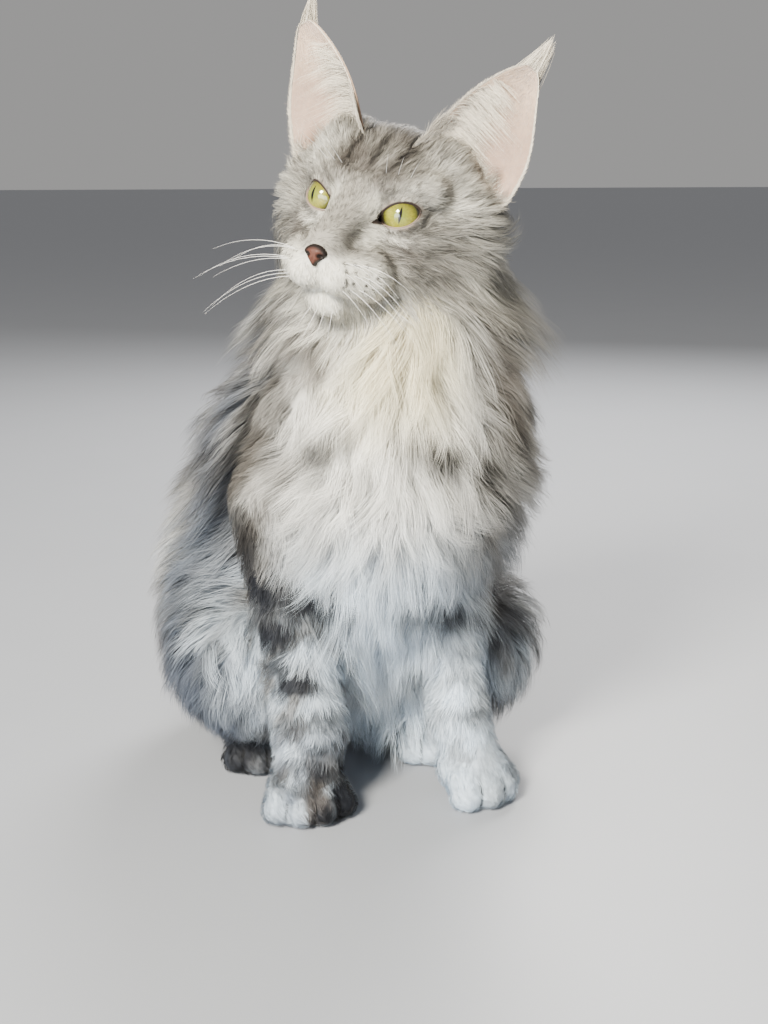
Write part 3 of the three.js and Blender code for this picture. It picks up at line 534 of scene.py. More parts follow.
def coatColour(points, region):
    # base colour of the coat at points in the row's frame, with painted cool light on the lower coat
    p = points - origin
    x, y, z = p.T / mm
    onHead = region == regionNames.index("head")
    headSilver, headDark, headBrown = np.zeros((3, len(points)))
    if onHead.any():
        headSilver[onHead], headDark[onHead], headBrown[onHead] = headMarks(toHead(points[onHead]))
    fromMiddle = np.abs(x - breastLine(z)) * np.where(x < breastLine(z), 0.94, 1)
    chest = smooth(20, -30, y) * smooth(60, 20, fromMiddle + 5 * waves(p, 17, 40)) * smooth(50, 80, z)
    low = smooth(120, 90, z) * smooth(30, -10, y) * (0.78 + 0.22 * waves(p, 18, 20))
    belly = smooth(110, 60, z) * smooth(44, 24, np.abs(x - chestX)) * smooth(90, 40, y)
    white = np.maximum(np.maximum(chest, low * 0.85), belly)
    silver = 0.72 + 0.24 * waves(p, 11, 90) + 0.18 * waves(p, 12, 26)
    silver = silver * (1 - 0.86 * white) + 0.16 * white * waves(p, 14, 30)
    blue = smooth(10, 60, y) * smooth(0, -50, x) * (0.55 + 0.45 * waves(p, 16, 50))
    blue = np.maximum(blue, smooth(160, 120, z) * smooth(20, 50, y) * (0.5 + 0.35 * waves(p, 21, 34)))
    paws = smooth(74, 40, z) * smooth(14, -10, x) * (y < 24)
    blue = np.maximum(blue, paws * (0.34 + 0.3 * waves(p, 22, 16)))
    legs = region == regionNames.index("legs")
    mottle = smooth(-0.2, 0.6, waves(p * np.array([1, 1, 1.7]), 19, 24)) * smooth(150, 100, z)
    silver = np.where(legs, np.maximum(silver, np.where(x < 0, 0.2 + 0.66 * mottle, 0.42 * mottle)), silver)
    haunch = smooth(96, 78, z) * smooth(-8, 20, y) * smooth(-64, -82, x)
    silver = silver + 0.3 * haunch
    blue = np.maximum(blue, 0.85 * haunch)
    clouds = smooth(0.1, 0.9, waves(p * np.array([1, 0.8, 0.5]), 3, 52)) * (1 - white)
    clouds = clouds * (1 - 0.75 * smooth(84, 104, z) * smooth(165, 135, z) * smooth(-60, -85, x))
    dark = clouds * smooth(0, 40, y) * (0.85 - 0.5 * smooth(225, 255, z))
    dark = np.maximum(dark, haunch * (0.12 + 0.14 * waves(p, 23, 30)))
    dark = np.maximum(dark, patches(p, darkPatches))
    ivory = chest * smooth(205, 255, z) * smooth(48, 12, fromMiddle)
    bellyOutOfCoolLight = 0.5 * belly * smooth(-20, 10, y) * smooth(34, 56, z)
    # painted cool light: a bluish cast painted over the lower coat, strongest on the front and the right
    # side, fading towards the back and held back on the belly
    coolLightCast = smooth(-80, -30, -0.34 * x - 0.94 * y)
    shares = {
        "cool": smooth(195, 122, z) * (1 - bellyOutOfCoolLight) * (0.12 + 0.88 * coolLightCast),
        "ivory": ivory,
        "silver": silver,
        # the blue-grey is the coat's own colour; its strength follows the painted cool light
        "blue": blue * (0.25 + 0.75 * coolLightCast),
        "brown": patches(p, brownPatches),
        "smoke": dark,
        # the dark marks are the coat's own colour; their blue tint low on the body is painted cool light
        "ink": dark * smooth(175, 130, z),
    }
    headShares = {"ivory": 0.3, "silver": headSilver, "brown": headBrown, "smoke": headDark}
    colour = np.tile(coatTones["white"], (len(points), 1))
    for tone, share in shares.items():
        share = np.where(onHead, headShares.get(tone, 0), share)
        colour = mixed(colour, coatTones[tone], np.clip(share, 0, 1))
    return colour


def canthus(points, side):
    # the dark bare wedge at the eye's inner corner
    u, v, w = fromEye(points, side)
    t = (-u / mm - 9.6) / 8.6
    middle = -1.1 * t * t
    half = 2.9 * (1 - t)
    inside = smooth(0.5, -0.3, np.abs(v / mm - middle) - half) * smooth(-0.05, 0.1, t) * smooth(1.05, 0.9, t)
    return inside * (w > 0)


def toeCreases(points):
    # 1 in the folds between toes
    p = points - origin
    most = np.zeros(len(points))
    for (place, *_), masses in zip(pawSizes, feet):
        middle = np.array((place[0], place[1], 8)) * mm
        close = np.linalg.norm(p - middle, axis=1) < 42 * mm
        if not close.any():
            continue
        off = np.sort([reach(p[close], [toe], mm) for toe in masses[1:]], axis=0) / mm
        fold = smooth(2.0, 0.3, off[1] - off[0]) * smooth(3.5, 1.5, off[0])
        most[close] = np.maximum(most[close], fold)
    return most


def lipLine(points):
    # 1 on the line between the lips, and less on the groove above it
    lips, groove = mouthLines(toHead(points))
    return np.maximum(smooth(1.5, 0.7, lips / mm), smooth(1.0, 0.4, groove / mm) * 0.7)


skinTones = {
    "ofCoat": 0.72,  # how bright the skin is beside its coat
    "lips": (0.05, 0.03, 0.028),
    "nearLid": (0.17, 0.145, 0.12),
    "paleLid": (0.34, 0.27, 0.22),
    "darkLid": (0.022, 0.015, 0.013),
}


def skinColours(points):
    colours = coatColour(points, nearestRegion(points)) * skinTones["ofCoat"]
    colours = mixed(colours, skinTones["lips"], lipLine(points))
    # painted shade in the folds between toes
    colours = colours * (1 - 0.86 * toeCreases(points)[:, None])
    for side in sides:
        off = offOutline(points, side) / mm
        u, v, _ = fromEye(points, side)
        close = smooth(5.0, 1.5, off) * np.where(v < 0, smooth(-8, 0, u / mm) * 0.7, 0.85)
        colours = mixed(colours, skinTones["nearLid"], close)
        upper = np.maximum(smooth(-2.5, -0.5, v / mm), smooth(-7, -9, u / mm))
        margin = mixed(skinTones["paleLid"], skinTones["darkLid"], upper)
        colours = mixed(colours, margin, smooth(1.15, 0.7, off))
        colours = mixed(colours, skinTones["darkLid"], canthus(points, side))
    return colours


# the skin: share is how much of the coat's depth it takes in, lidMelt how softly the lids join it
skinLook = {"voxel": 4.2 * mm, "share": 0.1, "rounds": 6, "lidMelt": 1.2 * mm, "floorGap": 0.6 * mm}


def lidded(points, share):
    # the body's field with the lids swelling over the eyeballs
    flesh = bodyReach(points, share)
    local = toHead(points)
    melt = skinLook["lidMelt"]
    for side in sides:
        ball = np.linalg.norm(local - eyeCentre(side), axis=1) - (eyes["radius"] + 0.6) * mm
        flesh = -melt * np.log(np.exp(-flesh / melt) + np.exp(-ball / melt))
    return flesh


def skinField(points):
    return lidded(points, skinLook["share"])


def coatField(points):
    return lidded(points, 0)


def settle(points, field, rounds):
    # moves points straight onto a field's surface, and keeps them above the floor
    for _ in range(rounds):
        d = np.clip(field(points), -6 * mm, 6 * mm)
        points = points - outward(points, field) * (d * 0.85)[:, None]
    points[:, 2] = np.maximum(points[:, 2], skinLook["floorGap"])
    return points


def makeSkin():
    deselectAll()
    blobs = []
    for name, (masses, _) in regions.items():
        for m in masses:
            span = np.linalg.norm(m["end"] - m["start"])
            count = max(2, int(span / (0.55 * min(m["radii"]))) + 1)
            for i in range(count):
                t = i / (count - 1)
                centre = m["start"] + (m["end"] - m["start"]) * t
                radius = m["radii"][0] + (m["radii"][1] - m["radii"][0]) * t
                place = fromHead(centre[None])[0] if name == "head" else centre + origin
                turn = headRotation.to_euler() if name == "head" else (0, 0, 0)
                bpy.ops.mesh.primitive_uv_sphere_add(
                    segments=14, ring_count=8, radius=radius, location=place, rotation=turn,
                    scale=tuple(m["squeeze"]),
                )
                blobs.append(bpy.context.object)
    selectOnly(blobs)
    bpy.ops.object.join()
    skin = bpy.context.object
    skin.name = "skin"
    bpy.ops.object.transform_apply(location=True, rotation=True, scale=True)
    remesh = skin.modifiers.new("remesh", "REMESH")
    remesh.mode = "VOXEL"
    remesh.voxel_size = skinLook["voxel"]
    applyModifiers(skin)
    setCoordinates(skin.data, settle(coordinates(skin.data), skinField, skinLook["rounds"]))
    return skin


def selectFaces(obj, test):
    # selects the faces whose middles pass a test on an array of points
    bpy.context.view_layer.objects.active = obj
    bpy.ops.object.mode_set(mode="EDIT")
    bpy.ops.mesh.select_mode(type="FACE")
    bpy.ops.mesh.select_all(action="DESELECT")
    bpy.ops.object.mode_set(mode="OBJECT")
    chosen = test(readRows(obj.data.polygons, "center"))
    obj.data.polygons.foreach_set("select", chosen)
    bpy.ops.object.mode_set(mode="EDIT")


def almond(angle):
    # the lids' outline in the plane across the line of sight
    inner = np.where(np.cos(angle) < 0, opening["innerReach"], 1.0)
    u = opening["wide"] / 2 * np.cos(angle) * inner
    power = np.where(np.cos(angle) < 0, 1.5, 1.15)
    v = opening["high"] / 2 * np.sign(np.sin(angle)) * np.abs(np.sin(angle)) ** power
    return u * mm, v * mm


def outlineNormals(u, v):
    # outwards across a closed outline, softened at its corners
    along = np.column_stack([np.roll(u, -2) - np.roll(u, 2), np.roll(v, -2) - np.roll(v, 2)])
    normals = unit(np.column_stack([along[:, 1], -along[:, 0]]))
    for _ in range(6):
        normals = unit(normals * 2 + np.roll(normals, 1, 0) + np.roll(normals, -1, 0))
    return normals


def fromEye(points, side):
    # u, v, w of points about one eye
    out, long, short = eyeDirections(side)
    off = toHead(points) - eyeCentre(side)
    return off @ long, off @ short, off @ out


def offOutline(points, side):
    # distance in the eye's plane from the lids' outline, below 0 inside it
    u, v, w = fromEye(points, side)
    outlineU, outlineV = almond(np.linspace(0, 2 * math.pi, 96, endpoint=False))
    normals = outlineNormals(outlineU, outlineV)
    near = np.full(len(points), 1.0)
    close = (np.abs(u) < 30 * mm) & (np.abs(v) < 25 * mm) & (w > -2 * mm)
    du = u[close][:, None] - outlineU[None]
    dv = v[close][:, None] - outlineV[None]
    distance = np.sqrt(du**2 + dv**2)
    nearest = distance.argmin(axis=1)
    rows = np.arange(len(nearest))
    outside = du[rows, nearest] * normals[nearest, 0] + dv[rows, nearest] * normals[nearest, 1]
    near[close] = distance[rows, nearest] * np.where(outside < 0, -1, 1)
    return near


def refineFace(skin):
    def nearFace(points):
        local = toHead(points)
        away = np.linalg.norm(local - np.array((0, -34, -8)) * mm, axis=1)
        return (local[:, 1] < -14 * mm) & (away < 56 * mm)

    def nearFeatures(points):
        local = toHead(points)
        close = np.linalg.norm(local - np.array((0, -68, -34)) * mm, axis=1) < 26 * mm
        for side in sides:
            close |= np.linalg.norm(local - eyeCentre(side), axis=1) < 19 * mm
        return close & (local[:, 1] < -20 * mm)

    def nearFeet(points):
        close = np.zeros(len(points), bool)
        for place, *_ in pawSizes:
            middle = origin + np.array((place[0], place[1] - 6, 8)) * mm
            close |= np.linalg.norm(points - middle, axis=1) < 34 * mm
        return close

    for test in (nearFace, nearFeatures, nearFeet, nearFeet):
        selectFaces(skin, test)
        bpy.ops.mesh.subdivide(number_cuts=1)
        bpy.ops.object.mode_set(mode="OBJECT")
        setCoordinates(skin.data, settle(coordinates(skin.data), skinField, 3))


lid = {
    # how far out from the outline, how high over the eyeball, share taken from the skin's own shape
    "rings": [
        (0.5, -1.6, 0), (0.0, 0.12, 0), (0.12, 0.5, 0), (0.5, 0.8, 0), (1.0, 0.85, 0.25),
        (1.8, 0.2, 1), (2.8, 0.1, 1), (4.0, 0.0, 1), (5.0, -0.45, 1), (6.0, -1.3, 1),
    ],
    "columns": 96,
    "cut": 4.1,
}


def makeLid(side):
    # a ring of skin from the eyeball out to the face, with a round margin
    angle = np.linspace(0, 2 * math.pi, lid["columns"], endpoint=False)
    u, v = almond(angle)
    normals = outlineNormals(u, v)
    out, long, short = eyeDirections(side)
    corner = smooth(-0.82, -0.99, np.cos(angle))
    upper = smooth(0.0, 0.8, np.sin(angle))
    rings = []
    for away, height, share in lid["rings"]:
        reachOut = away * (1 + 0.25 * upper * (away > 0.3))
        ringU, ringV = u + normals[:, 0] * reachOut * mm, v + normals[:, 1] * reachOut * mm
        ball = np.sqrt(np.maximum((eyes["radius"] * mm) ** 2 - ringU**2 - ringV**2, 0))
        depth = np.maximum(ball, 4.5 * mm) + (height + 0.45 * upper * (0.1 < away < 1.5)) * mm
        inPlane = ringU[:, None] * long + ringV[:, None] * short
        start = fromHead(inPlane + depth[:, None] * out + eyeCentre(side))
        onSkin = start.copy()
        sight = headAxes @ out
        for _ in range(12):
            onSkin = onSkin - sight * np.clip(skinField(onSkin), -3 * mm, 3 * mm)[:, None] * 0.8
        if share == 1:
            placed = onSkin + sight * height * mm
        else:
            lowered = onSkin - sight * (1.3 - 0.8 * away) * mm
            blend = np.maximum(corner, share)[:, None]
            placed = start * (1 - blend) + lowered * blend
        rings.append(placed)
    loops = gridLoops(len(rings), lid["columns"], flip=side > 0)
    return meshFrom("lid_right" if side < 0 else "lid_left", np.concatenate(rings), loops, 4)


def openLids(skin):
    # the face is cut back round each eye, and the lids are joined to it
    for side in sides:
        selectFaces(skin, lambda points, s=side: (offOutline(points, s) < lid["cut"] * mm))
        bpy.ops.mesh.delete(type="FACE")
        bpy.ops.object.mode_set(mode="OBJECT")
    selectOnly([skin] + [makeLid(side) for side in sides])
    bpy.ops.object.join()


mouth = {
    "lips": [(0, -68, -40.5), (7, -65, -44), (14, -57, -46), (20, -46, -44)],
    "philtrum": [(0, -77, -28), (0, -74, -34), (0, -69, -41)],
    "width": 1.4 * mm,
    "depth": 3.0 * mm,
}


def distanceToLine(points, line):
    best = np.full(len(points), 1.0)
    for a, b in zip(line[:-1], line[1:]):
        a, b = np.array(a) * mm, np.array(b) * mm
        t = np.clip((points - a) @ (b - a) / ((b - a) @ (b - a)), 0, 1)
        best = np.minimum(best, np.linalg.norm(points - a - t[:, None] * (b - a), axis=1))
    return best


def onHeadSurface(line):
    # control points drawn onto the head's surface, in millimetres in head axes
    points = np.array(line, float) * mm

    def field(q):
        return reach(q, *regions["head"], skinLook["share"])

    for _ in range(8):
        points = points - outward(points, field) * field(points)[:, None]
    return points / mm


def mouthLines(local):
    # distances to the line between the lips and to the groove above it
    lips = distanceToLine(mirroredPoints(local), onHeadSurface(mouth["lips"]))
    return lips, distanceToLine(local, onHeadSurface(mouth["philtrum"]))


def pressMouth(skin):
    points = coordinates(skin.data)
    lips, groove = mouthLines(toHead(points))
    press = np.exp(-((lips / mouth["width"]) ** 2)) * mouth["depth"]
    press = np.maximum(press, np.exp(-((groove / (0.8 * mouth["width"])) ** 2)) * mouth["depth"] * 0.55)
    near = press > 0.02 * mm
    inwards = outward(points[near], skinField)
    points[near] -= inwards * press[near][:, None]
    setCoordinates(skin.data, points)


print("stage: skin")
skin = makeSkin()
refineFace(skin)
openLids(skin)
pressMouth(skin)
selectOnly([skin])
bpy.ops.object.mode_set(mode="EDIT")
bpy.ops.mesh.select_all(action="SELECT")
bpy.ops.uv.smart_project(angle_limit=math.radians(66), island_margin=0.002)
bpy.ops.object.mode_set(mode="OBJECT")
skin.data.uv_layers[0].name = "OFBake"
bpy.ops.object.shade_smooth()
print("skin faces", len(skin.data.polygons))
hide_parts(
    "head", "neck", "chest", "back", "rump", "foreleg_right", "foreleg_left", "forepaw_right",
    "forepaw_left", "thigh_right", "thigh_left", "hindfoot_right", "hindfoot_left", "tail_base",
    "tail_middle", "tail_end",
)
finishPiece(skin)

# ears: a cup from base to tip, thick enough to be a solid, inside and outside one sheet
def earFrame():
    # the middle of the base, the way up to the tip, the way across, and the unit way backwards
    inner, outer, tip = (np.array(ear[key], float) for key in ("inner", "outer", "tip"))
    across = outer - inner
    middle = (inner + outer) / 2
    back = unit(np.cross(tip - middle, across))
    return middle, tip - middle, across, back if back[1] > 0 else -back


def earPoint(side, u, t, depth):
    # u runs across the ear from its inner edge, t up it, depth backwards through it
    middle, rise, across, back = earFrame()
    t = np.asarray(t, float)
    clipped = np.clip(t, 0, 1)
    wide = np.sqrt(np.maximum(0, 1 - t)) * (1 + 0.16 * np.sin(math.pi * clipped))
    outerEdge = smooth(0.55, 1.0, u) * smooth(-0.1, 0.08, t) * smooth(0.85, 0.35, t)
    fold = np.exp(-(((u - 0.9) / 0.045) ** 2) - ((t - 0.1) / 0.09) ** 2)
    dent = np.exp(-(((u - 0.81) / 0.05) ** 2) - ((t - 0.1) / 0.1) ** 2)
    hollow = ear["cup"] * (1 - (2 * u - 1) ** 2) * np.minimum(1, wide) * (1 - 0.35 * clipped)
    p = middle + rise * t[..., None] + across * ((u - 0.5) * wide)[..., None]
    p = p + unit(across) * (4.2 * outerEdge)[..., None]
    p = p + back * (hollow - 5 * clipped**2 + depth + 3.6 * dent - 3.6 * fold)[..., None]
    return p * np.array([side, 1, 1]) * mm


earTones = {"pink": (0.40, 0.275, 0.205), "rim": (0.62, 0.47, 0.34), "outside": (0.15, 0.14, 0.13)}


def earColours(obj, local):
    # pink inside, pale rim, silver outside, from where each vertex lies, with painted shade in the pocket
    # fold and deep in the cup
    facing = -(readRows(obj.data.vertices, "normal") @ headAxes)[:, 1]
    z = local[:, 2] / mm
    inner = mixed(earTones["pink"], earTones["rim"], smooth(45, 85, z) * 0.7)
    # painted shade in the fold at the outer base of the ear, its pocket
    pocket = np.linalg.norm(offIn(local, (54, 4, 27), (4.5, 14, 9)), axis=1)
    inner = inner * (1 - 0.72 * smooth(1.4, 0.4, pocket))[:, None]
    # painted shade deep in the cup, near its base
    deep = smooth(48, 18, z) * smooth(60, 30, local[:, 0] / mm)
    inner = inner * (1 - 0.35 * deep)[:, None]
    setColours(obj.data, "coatColour", mixed(earTones["outside"], inner, smooth(-0.1, 0.35, facing)))


def makeEar(side):
    columns, rows = 41, 44
    up = ear["foot"] + (ear["top"] - ear["foot"]) * np.linspace(0, 1, rows) ** 0.9
    u, t = np.meshgrid(np.linspace(0, 1, columns), up)
    points = fromHead(earPoint(side, u.ravel(), t.ravel(), 0))
    loops = gridLoops(rows, columns, closedColumns=False, flip=side > 0)
    obj = meshFrom("ear_right_skin" if side < 0 else "ear_left_skin", points, loops, 4)
    solidify = obj.modifiers.new("wall", "SOLIDIFY")
    solidify.thickness = ear["wall"] * mm
    solidify.offset = 0
    rounded = obj.modifiers.new("rounded", "SUBSURF")
    rounded.levels = 1
    rounded.render_levels = 1
    applyModifiers(obj)
    obj.data.update()
    earColours(obj, toHead(coordinates(obj.data)) * np.array([side, 1, 1]))
    shadeSmooth(obj)
    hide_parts("ear_right" if side < 0 else "ear_left")
    return finishPiece(obj)


# the eyes: a ball with the cornea standing out of it
roundParts = {"segments": 64, "ring_count": 40}


def makeEye(side):
    deselectAll()
    centre = fromHead(eyeCentre(side)[None])[0]
    bpy.ops.mesh.primitive_uv_sphere_add(**roundParts, radius=eyes["radius"] * mm, location=centre)
    eye = bpy.context.object
    eye.name = "eyeball_right" if side < 0 else "eyeball_left"
    bpy.ops.object.transform_apply(location=True, rotation=True, scale=True)
    out = eyeDirections(side)[0]
    directions = unit(toHead(coordinates(eye.data)) - eyeCentre(side))
    ahead = directions @ out
    sideways = np.sqrt(np.maximum(0, 1 - ahead**2))
    aheadBy, corneaRadius = eyes["corneaAhead"], eyes["corneaRadius"]
    toCornea = aheadBy * ahead + np.sqrt(np.maximum(0, corneaRadius**2 - (aheadBy * sideways) ** 2))
    radius = np.where(ahead > 0, np.maximum(eyes["radius"], toCornea), eyes["radius"]) * mm
    off = directions * radius[:, None]
    setCoordinates(eye.data, fromHead(off + eyeCentre(side)))
    upright = unit(np.array([0, 0, 1.0]) - out * out[2])
    level = np.cross(upright, out)
    plane = np.column_stack([off @ level, off @ upright, off @ out]) / mm
    attribute = eye.data.attributes.new("eyePlane", "FLOAT_VECTOR", "POINT")
    attribute.data.foreach_set("vector", plane.astype(np.float32).ravel())
    shadeSmooth(eye)
    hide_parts("eye_right" if side < 0 else "eye_left")
    return finishPiece(eye)


def tube(name, points, radii, around=8, closed=False):
    # a mesh tube along points, with its own radius at each
    points, radii = np.asarray(points, float), np.asarray(radii, float)
    tangents = np.roll(points, -1, 0) - np.roll(points, 1, 0) if closed else np.gradient(points, axis=0)
    tangents = unit(tangents)
    notAlong = np.array([0.31, 0.17, 0.93])
    a = unit(np.cross(tangents, notAlong))
    b = np.cross(tangents, a)
    turn = np.arange(around) * 2 * math.pi / around
    ring = a[:, None] * np.cos(turn)[None, :, None] + b[:, None] * np.sin(turn)[None, :, None]
    vertices = (points[:, None] + ring * radii[:, None, None]).reshape(-1, 3)
    return meshFrom(name, vertices, gridLoops(len(points), around, closedRows=closed), 4)


lidRim = {"around": 8, "radius": 0.42, "above": 0.28, "pale": (0.42, 0.30, 0.24), "dark": (0.03, 0.02, 0.016)}


def makeLidRim(side):
    # the wet margin of the lids
    angle = np.linspace(0, 2 * math.pi, lid["columns"], endpoint=False)
    u, v = almond(angle)
    out, long, short = eyeDirections(side)
    corner = smooth(-0.82, -0.99, np.cos(angle))
    depth = np.sqrt(np.maximum((eyes["radius"] * mm) ** 2 - u**2 - v**2, 0)) + lidRim["above"] * mm
    points = u[:, None] * long + v[:, None] * short + depth[:, None] * out + eyeCentre(side)
    radii = (lidRim["radius"] - 0.1 * corner) * mm
    name = "lid_rim_right" if side < 0 else "lid_rim_left"
    rim = tube(name, fromHead(points), radii, lidRim["around"], closed=True)
    upper = 0.55 + 0.45 * smooth(-0.7, -0.2, np.sin(angle))
    shade = np.repeat(np.maximum(upper, smooth(-0.6, -0.85, np.cos(angle))), lidRim["around"])
    setColours(rim.data, "coatColour", mixed(lidRim["pale"], lidRim["dark"], shade))
    turnOutwards(rim)
    return finishPiece(rim)


nose = {
    "centre": (0, -75.7, -23.6), "size": (6.3, 4.0, 5.7), "nostril": (3.7, -79.2, -23.4),
    "middle": (0.082, 0.029, 0.019), "edge": (0.008, 0.005, 0.004),
}


def makeNose():
    deselectAll()
    bpy.ops.mesh.primitive_uv_sphere_add(**roundParts, radius=1, location=(0, 0, 0))
    obj = bpy.context.object
    obj.name = "nose_leather"
    unitPoints = coordinates(obj.data)
    shaped = unitPoints * np.array(nose["size"]) * mm
    shaped[:, 0] *= 0.26 + 0.82 * smooth(-0.95, 0.45, unitPoints[:, 2])
    shaped += np.array(nose["centre"]) * mm
    holes = [np.array(nose["nostril"]) * np.array([side, 1, 1]) for side in sides]
    for side, hole in zip(sides, holes):
        shaped[:, 1] += bump3(shaped, hole, (1.7, 3.2, 1.15)) * 2.6 * mm
        wing = hole + np.array([side * 1.9, 0, 0.2])
        shaped[:, 1] -= bump3(shaped, wing, (1.3, 3, 1.8)) * 0.5 * mm
    groove = np.exp(-((shaped[:, 0] / (0.7 * mm)) ** 2)) * smooth(-20 * mm, -26 * mm, shaped[:, 2])
    shaped[:, 1] += groove * 0.9 * mm
    setCoordinates(obj.data, fromHead(shaped))
    bpy.ops.object.shade_smooth()
    fromMiddle = np.linalg.norm((unitPoints[:, [0, 2]] - np.array((0, -0.05))) * 0.95, axis=1)
    share = smooth(0.5, 0.85, fromMiddle)
    # the near-black rim is the leather's own colour; the nostrils get the same near-black as painted shade in
    # the holes
    for hole in holes:
        off = np.linalg.norm(offIn(shaped, hole, (2.2, 6, 1.5)), axis=1)
        share = np.maximum(share, smooth(1.1, 0.7, off))
    setColours(obj.data, "coatColour", mixed(nose["middle"], nose["edge"], share))
    return finishPiece(obj)


print("stage: eyes, ears, nose")
eyeballs = [makeEye(side) for side in sides]
lidRims = [makeLidRim(side) for side in sides]
noseLeather = makeNose()
earSkins = [makeEar(side) for side in sides]


# the lie of the coat
def lieOf(points, region):
    # the direction in which hair lies, before it is laid along the surface
    p = (points - origin) / mm
    x, y, z = p.T
    toRear = smooth(-30, 90, y)
    collar = smooth(235, 310, z)
    spread = np.sign(x - chestX) * np.minimum(1, np.abs(x - chestX) / 40)
    fan = 0.75 * smooth(228, 205, z) * smooth(110, 170, z) + 0.5 * smooth(310, 292, z) * smooth(235, 262, z)
    sideways = (x - breastLine(z)) / 44
    fan = fan - 0.55 * smooth(-0.6, -1.1, sideways) * smooth(225, 250, z)
    front = 1 - smooth(-25, 25, y)
    across = np.clip(sideways, -1.2, 1.2) * fan * front
    across = across + 0.16 * collar * spread + 0.06 * spread * (1 - toRear)
    across = across + 0.2 * waves(p * mm, 61, 46) * front
    trunk = unit(np.column_stack([across, 0.62 * toRear, -np.ones(len(p))]))
    local = toHead(points)
    face = unit(local - np.array((0, -86, -14)) * mm)
    down = smooth(-2, -34, local[:, 2] / mm) * (0.5 + 0.6 * smooth(-40, 0, local[:, 1] / mm))
    face = face + down[:, None] * (headAxes.T @ np.array([0, 0.1, -1.0]))
    for side in sides:
        away = local - (eyeCentre(side) + np.array([0, -6, 0]) * mm)
        near = np.exp(-((np.linalg.norm(away, axis=1) / (15 * mm)) ** 2))
        face = face + 1.6 * near[:, None] * unit(away)
    face = unit(face) @ headAxes.T
    leg = np.tile(unit(np.array([0, 0.15, -1.0])), (len(p), 1))
    toe = np.tile(unit(np.array([0, -1.0, -0.35])), (len(p), 1))
    line = np.array(tail["line"], float)
    middle = (line[1:] + line[:-1]) / 2
    way = unit(line[1:] - line[:-1])
    nearness = np.exp(-np.linalg.norm(p[:, None] - middle[None], axis=2) / 16)
    along = unit(nearness @ way + np.array([0, 0, -0.12]))
    table = {"trunk": trunk, "head": face, "legs": leg, "feet": toe, "tail": along}
    result = np.zeros_like(points)
    for i, name in enumerate(regionNames):
        result[region == i] = table[name][region == i]
    return result


def deepCoat(points):
    # how high the coat's tips stand over the flesh
    depth = coatDepth(points)
    local = toHead(points) / mm
    x, y, z = np.abs(local[:, 0]), local[:, 1], local[:, 2]
    onHead = smooth(82, 66, np.linalg.norm(local, axis=1))
    cheek = smooth(-30, 4, y) * smooth(24, -8, z) * smooth(18, 34, x)
    jaw = smooth(-70, -38, y) * smooth(-41, -52, z)
    temple = smooth(-12, 8, y) * smooth(28, 42, x) * smooth(30, 12, z)
    crown = smooth(24, 36, z) * smooth(-24, -6, y)
    ofHead = onHead * np.maximum.reduce([cheek * 17, jaw * 10, temple * 11, crown * 3]) * mm
    x, y, z = (points - origin).T / mm
    collarSide = smooth(232, 256, z) * smooth(22, 52, np.abs(x - 12)) * (1 - onHead)
    collarSide = collarSide * np.where((x < 12) & (y < 24), 0.74, 0.5)
    behindShoulder = smooth(160, 205, z) * smooth(-8, -36, x) * smooth(24, 50, y)
    return depth * (1 - collarSide) + 9 * mm * behindShoulder * (1 - onHead) + ofHead


def skinSurface(skin):
    mesh = skin.data
    mesh.calc_loop_triangles()
    corners = readRows(mesh.loop_triangles, "vertices", kind=np.int32)
    loops = readRows(mesh.loop_triangles, "loops", kind=np.int32)
    points = coordinates(mesh)
    a, b, c = (points[corners[:, k]] for k in range(3))
    middles = (a + b + c) / 3
    return {
        "corners": corners,
        "uv": readRows(mesh.uv_layers["OFBake"].uv, "vector", 2)[loops],
        "points": points,
        "normals": readRows(mesh.vertices, "normal"),
        "area": np.linalg.norm(np.cross(b - a, c - a), axis=1) / 2,
        "middles": middles,
        "region": nearestRegion(middles),
    }


def scatter(surface, weight, count, random):
    # roots over the skin, more where the weight is higher
    share = surface["area"] * weight
    chosen = random.choice(len(share), size=count, p=share / share.sum())
    a, b = random.random(count), random.random(count)
    flip = a + b > 1
    a[flip], b[flip] = 1 - a[flip], 1 - b[flip]
    w = np.column_stack([1 - a - b, a, b])[:, :, None]
    corners = surface["corners"][chosen]
    return {
        "points": (surface["points"][corners] * w).sum(1),
        "normals": unit((surface["normals"][corners] * w).sum(1)),
        "uv": (surface["uv"][chosen] * w).sum(1),
        "region": surface["region"][chosen],
    }


def thinned(points, spacing):
    # an even choice: no two kept nearer than the spacing
    keys = np.floor(points / spacing).astype(int)
    cells, kept = {}, []
    around = [(i, j, k) for i in (-1, 0, 1) for j in (-1, 0, 1) for k in (-1, 0, 1)]
    limit = spacing * spacing
    for index, (key, point) in enumerate(zip(map(tuple, keys.tolist()), points.tolist())):
        x, y, z = point
        near = any(
            (q[0] - x) ** 2 + (q[1] - y) ** 2 + (q[2] - z) ** 2 < limit
            for i, j, k in around
            for q in cells.get((key[0] + i, key[1] + j, key[2] + k), ())
        )
        if not near:
            cells.setdefault(key, []).append(point)
            kept.append(index)
    return np.array(kept)


def walkGuides(roots, length, depth, steps, tilt, sink, hang):
    # paths that start under the skin, rise through the coat and lie along it, or hang free
    p = roots["points"].copy()
    normals = [roots["normals"]]
    path = [p - roots["normals"] * sink]
    for k in range(1, steps + 1):
        t = k / steps
        n = outward(p, coatField, 1.0 * mm)
        d = lieOf(p, roots["region"])
        d = unit(d - n * np.sum(d * n, axis=1)[:, None] * (1 - hang * t))
        side = np.cross(n, d)
        d = d * np.cos(tilt)[:, None] + side * np.sin(tilt)[:, None]
        p = p + d * (length / steps)[:, None]
        rise = depth * (1 - (1 - t) ** 1.8)
        pull = np.clip(rise - coatField(p), -12 * mm, 12 * mm)
        p = p + n * np.where(pull < 0, pull * (1 - hang * t), pull)[:, None]
        p[:, 2] = np.maximum(p[:, 2], 1.4 * mm)
        path.append(p.copy())
        normals.append(n)
    return np.array(path), np.array(normals)


